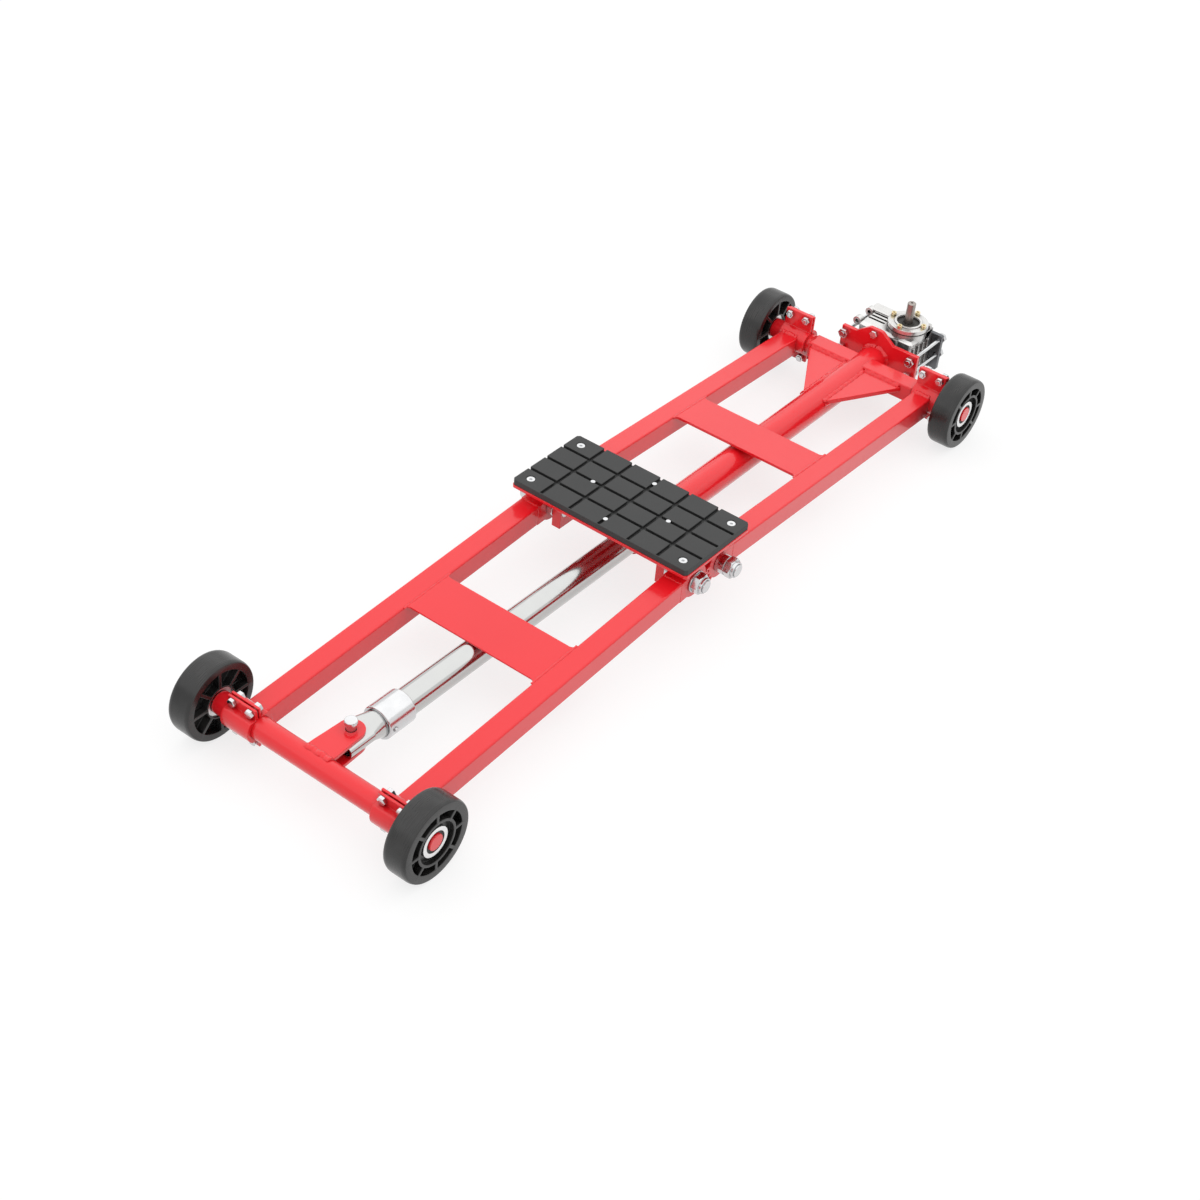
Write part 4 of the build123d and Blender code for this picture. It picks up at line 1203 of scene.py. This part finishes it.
@dataclass
class Gearbox:
    """Worm gearbox on the end of the screw tube, with its plates, studs, cover and shaft."""

    gasket_thickness: float = 0.0012
    gasket_proud: float = 0.0006
    gasket_bore: float = 0.8
    lip_rise: float = 0.0016
    lip_width: float = 0.003
    lip_radius: float = 0.0082
    lip_top: tuple[float, float] = (0.2, 0.7)
    step_gap: float = 0.0008
    step_width: float = 0.0042
    step_rise: float = 0.0014
    step_chamfer: float = 0.4
    ring_steps: int = 64
    stud_radius: float = 0.005
    waist_radius: float = 0.0033
    waist_gap: float = 0.001
    waist_taper: float = 0.0035

    def build(self, shop: Workshop) -> None:
        """Make the gearbox and its small details.

        Args:
            shop: The workshop that finishes it.
        """
        shop.soften("flange_plate", "flange_bolt", "adapter_plate", "rear_plate", "tie_nuts")
        shop.soften("gearbox_housing", "input_cover", "input_seal", "cover_screws", "input_shaft")
        shop.dress_node("worm_wheel")
        self._studs(shop)
        self._gasket(shop)
        self._cover_step(shop)
        self._seal_lip(shop)

    def _studs(self, shop: Workshop) -> None:
        """Turn the tie studs down to a thin shank between the plates.

        Args:
            shop: The workshop that finishes them.
        """
        low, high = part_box("tie_studs")
        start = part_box("adapter_plate")[1].x + self.waist_gap
        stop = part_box("rear_plate")[0].x - self.waist_gap
        shape = shop.copy("tie_studs")
        for x in (start, start + self.waist_taper, stop - self.waist_taper, stop):
            whole = shape.verts[:] + shape.edges[:] + shape.faces[:]
            cut = Vector((x, 0.0, 0.0))
            bmesh.ops.bisect_plane(shape, geom=whole, plane_co=cut, plane_no=(1.0, 0.0, 0.0))
        middle = (low + high) / 2
        shrink = self.waist_radius / self.stud_radius
        for vert in shape.verts:
            if start + self.waist_taper / 2 < vert.co.x < stop - self.waist_taper / 2:
                right, below = vert.co.y < middle.y, vert.co.z < middle.z
                y = low.y + self.stud_radius if right else high.y - self.stud_radius
                z = low.z + self.stud_radius if below else high.z - self.stud_radius
                axis = Vector((vert.co.x, y, z))
                vert.co = axis + (vert.co - axis) * shrink
        shop.stand_in("tie_studs", shape)

    def _gasket(self, shop: Workshop) -> None:
        """Lay a gasket under the cover.

        Args:
            shop: The workshop that finishes it.
        """
        low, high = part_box("input_cover")
        radius = (high.x - low.x) / 2
        edge = radius + self.gasket_proud
        profile = (
            (radius * self.gasket_bore, 0.0),
            (edge, 0.0),
            (edge, self.gasket_thickness),
            (radius * self.gasket_bore, self.gasket_thickness),
        )
        shape = bmesh.new()
        shop.turn(shape, profile, self._over_cover(shop, low.z), self.ring_steps)
        shop.piece("cover_gasket", shape, shop.node_body["input_cover"], Slot.SEAL_RUBBER)

    def _cover_step(self, shop: Workshop) -> None:
        """Raise a chamfered step on the cover, round the seal.

        Args:
            shop: The workshop that finishes it.
        """
        seal_low, seal_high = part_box("input_seal")
        inner = (seal_high.x - seal_low.x) / 2 + self.step_gap
        outer = inner + self.step_width
        chamfer = self.step_rise * self.step_chamfer
        profile = (
            (inner, -self.step_rise),
            (outer, -self.step_rise),
            (outer, self.step_rise - chamfer),
            (outer - chamfer, self.step_rise),
            (inner, self.step_rise),
        )
        shape = bmesh.new()
        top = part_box("input_cover")[1].z
        shop.turn(shape, profile, self._over_cover(shop, top), self.ring_steps)
        shop.piece("cover_step", shape, shop.node_body["input_cover"], Slot.CAST_ALUMINIUM)

    def _seal_lip(self, shop: Workshop) -> None:
        """Raise a rubber lip on the seal, round the shaft.

        Args:
            shop: The workshop that finishes it.
        """
        top_inner, top_outer = (self.lip_radius + self.lip_width * share for share in self.lip_top)
        profile = (
            (self.lip_radius, 0.0),
            (self.lip_radius + self.lip_width, 0.0),
            (top_outer, self.lip_rise),
            (top_inner, self.lip_rise),
        )
        shape = bmesh.new()
        shop.turn(shape, profile, self._over_cover(shop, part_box("input_seal")[1].z))
        shop.piece("seal_lip", shape, shop.node_body["input_cover"], Slot.SEAL_RUBBER)

    @staticmethod
    def _over_cover(shop: Workshop, height: float) -> Matrix:
        """A place on the axis of the cover, facing up, at a height."""
        low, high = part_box("input_cover")
        return shop.facing(Vector(((low.x + high.x) / 2, (low.y + high.y) / 2, height)), UP)


@dataclass
class Studio:
    """Pale floor, soft light and the photograph's camera."""

    focal_length: float = 61.4287
    sensor_width: float = 36.0
    place: Triple = (-2.125661, -1.385308, 1.971167)
    yaw: float = 34.3747
    pitch: float = 39.2238
    roll: float = 5.7549
    floor_size: float = 14.0
    floor_color: float = 0.64
    floor_glow: float = 0.76
    floor_shade: float = 0.26
    lamp_size: float = 14.0
    lamp_place: Triple = (-0.3, 0.3, 4.0)
    lamp_power: float = 300.0
    dome_light: float = 0.68
    dome_shown: float = 1.0

    def build(self) -> None:
        """Make the whole studio."""
        bpy.context.scene.view_settings.view_transform = "Standard"
        self._camera()
        self._floor()
        self._lamp()
        self._world()

    def _camera(self) -> None:
        """Put the camera where the photograph was taken from."""
        data = bpy.data.cameras.new("photo_camera")
        data.lens = self.focal_length
        data.sensor_width = self.sensor_width
        yaw, pitch, roll = (math.radians(angle) for angle in (self.yaw, self.pitch, self.roll))
        level = math.cos(pitch)
        forward = Vector((level * math.cos(yaw), level * math.sin(yaw), -math.sin(pitch)))
        right = Vector((math.sin(yaw), -math.cos(yaw), 0.0))
        up = right.cross(forward)
        turned_right = right * math.cos(roll) + up * math.sin(roll)
        turned_up = up * math.cos(roll) - right * math.sin(roll)
        turn = Matrix((turned_right, turned_up, -forward)).transposed()
        camera = bpy.data.objects.new("photo_camera", data)
        camera.matrix_world = Matrix.Translation(self.place) @ turn.to_4x4()
        bpy.context.scene.collection.objects.link(camera)
        bpy.context.scene.camera = camera

    def _floor(self) -> None:
        """Lay a pale floor that shows white where it is lit and keeps the lift's shadow."""
        shape = bmesh.new()
        bmesh.ops.create_grid(shape, x_segments=1, y_segments=1, size=self.floor_size / 2)
        mesh = bpy.data.meshes.new("floor")
        shape.to_mesh(mesh)
        shape.free()
        floor = bpy.data.objects.new("floor", mesh)
        bpy.context.scene.collection.objects.link(floor)
        material = bpy.data.materials.new("pale_floor")
        graph = Graph(material)
        plain, shaded = (
            graph.node("ShaderNodeBsdfDiffuse", {}, {"Color": (grey, grey, grey, 1.0)})
            for grey in (self.floor_color, self.floor_shade)
        )
        glow = graph.node("ShaderNodeEmission", {}, {"Strength": self.floor_glow})
        shown = graph.node("ShaderNodeAddShader", {}, {0: shaded, 1: glow})
        graph.close(graph.node("ShaderNodeMixShader", {}, {0: graph.seen(), 1: plain, 2: shown}))
        mesh.materials.append(material)

    def _lamp(self) -> None:
        """Hang one wide soft lamp over the lift."""
        data = bpy.data.lights.new("overhead", "AREA")
        data.shape = "SQUARE"
        data.size = self.lamp_size
        data.energy = self.lamp_power
        lamp = bpy.data.objects.new("overhead", data)
        lamp.location = self.lamp_place
        bpy.context.scene.collection.objects.link(lamp)

    def _world(self) -> None:
        """Surround the studio with soft light, and show it white."""
        world = bpy.data.worlds.new("studio")
        bpy.context.scene.world = world
        graph = Graph(world)
        white = (1.0, 1.0, 1.0, 1.0)
        light, shown = (
            graph.node("ShaderNodeBackground", {}, {"Color": white, "Strength": strength})
            for strength in (self.dome_light, self.dome_shown)
        )
        graph.close(graph.node("ShaderNodeMixShader", {}, {0: graph.seen(), 1: light, 2: shown}))


def main() -> None:
    """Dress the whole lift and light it."""
    logging.basicConfig(level=logging.INFO, format="%(message)s")
    shop = Workshop()
    assemblies = (
        WheelSet(),
        ArmPair(End.IDLE),
        ArmPair(End.GEAR),
        Platform(),
        ScrewDrive(),
        PushDrive(),
        Gearbox(),
    )
    for assembly in assemblies:
        assembly.build(shop)
    Studio().build()


if __name__ == "__main__":
    main()
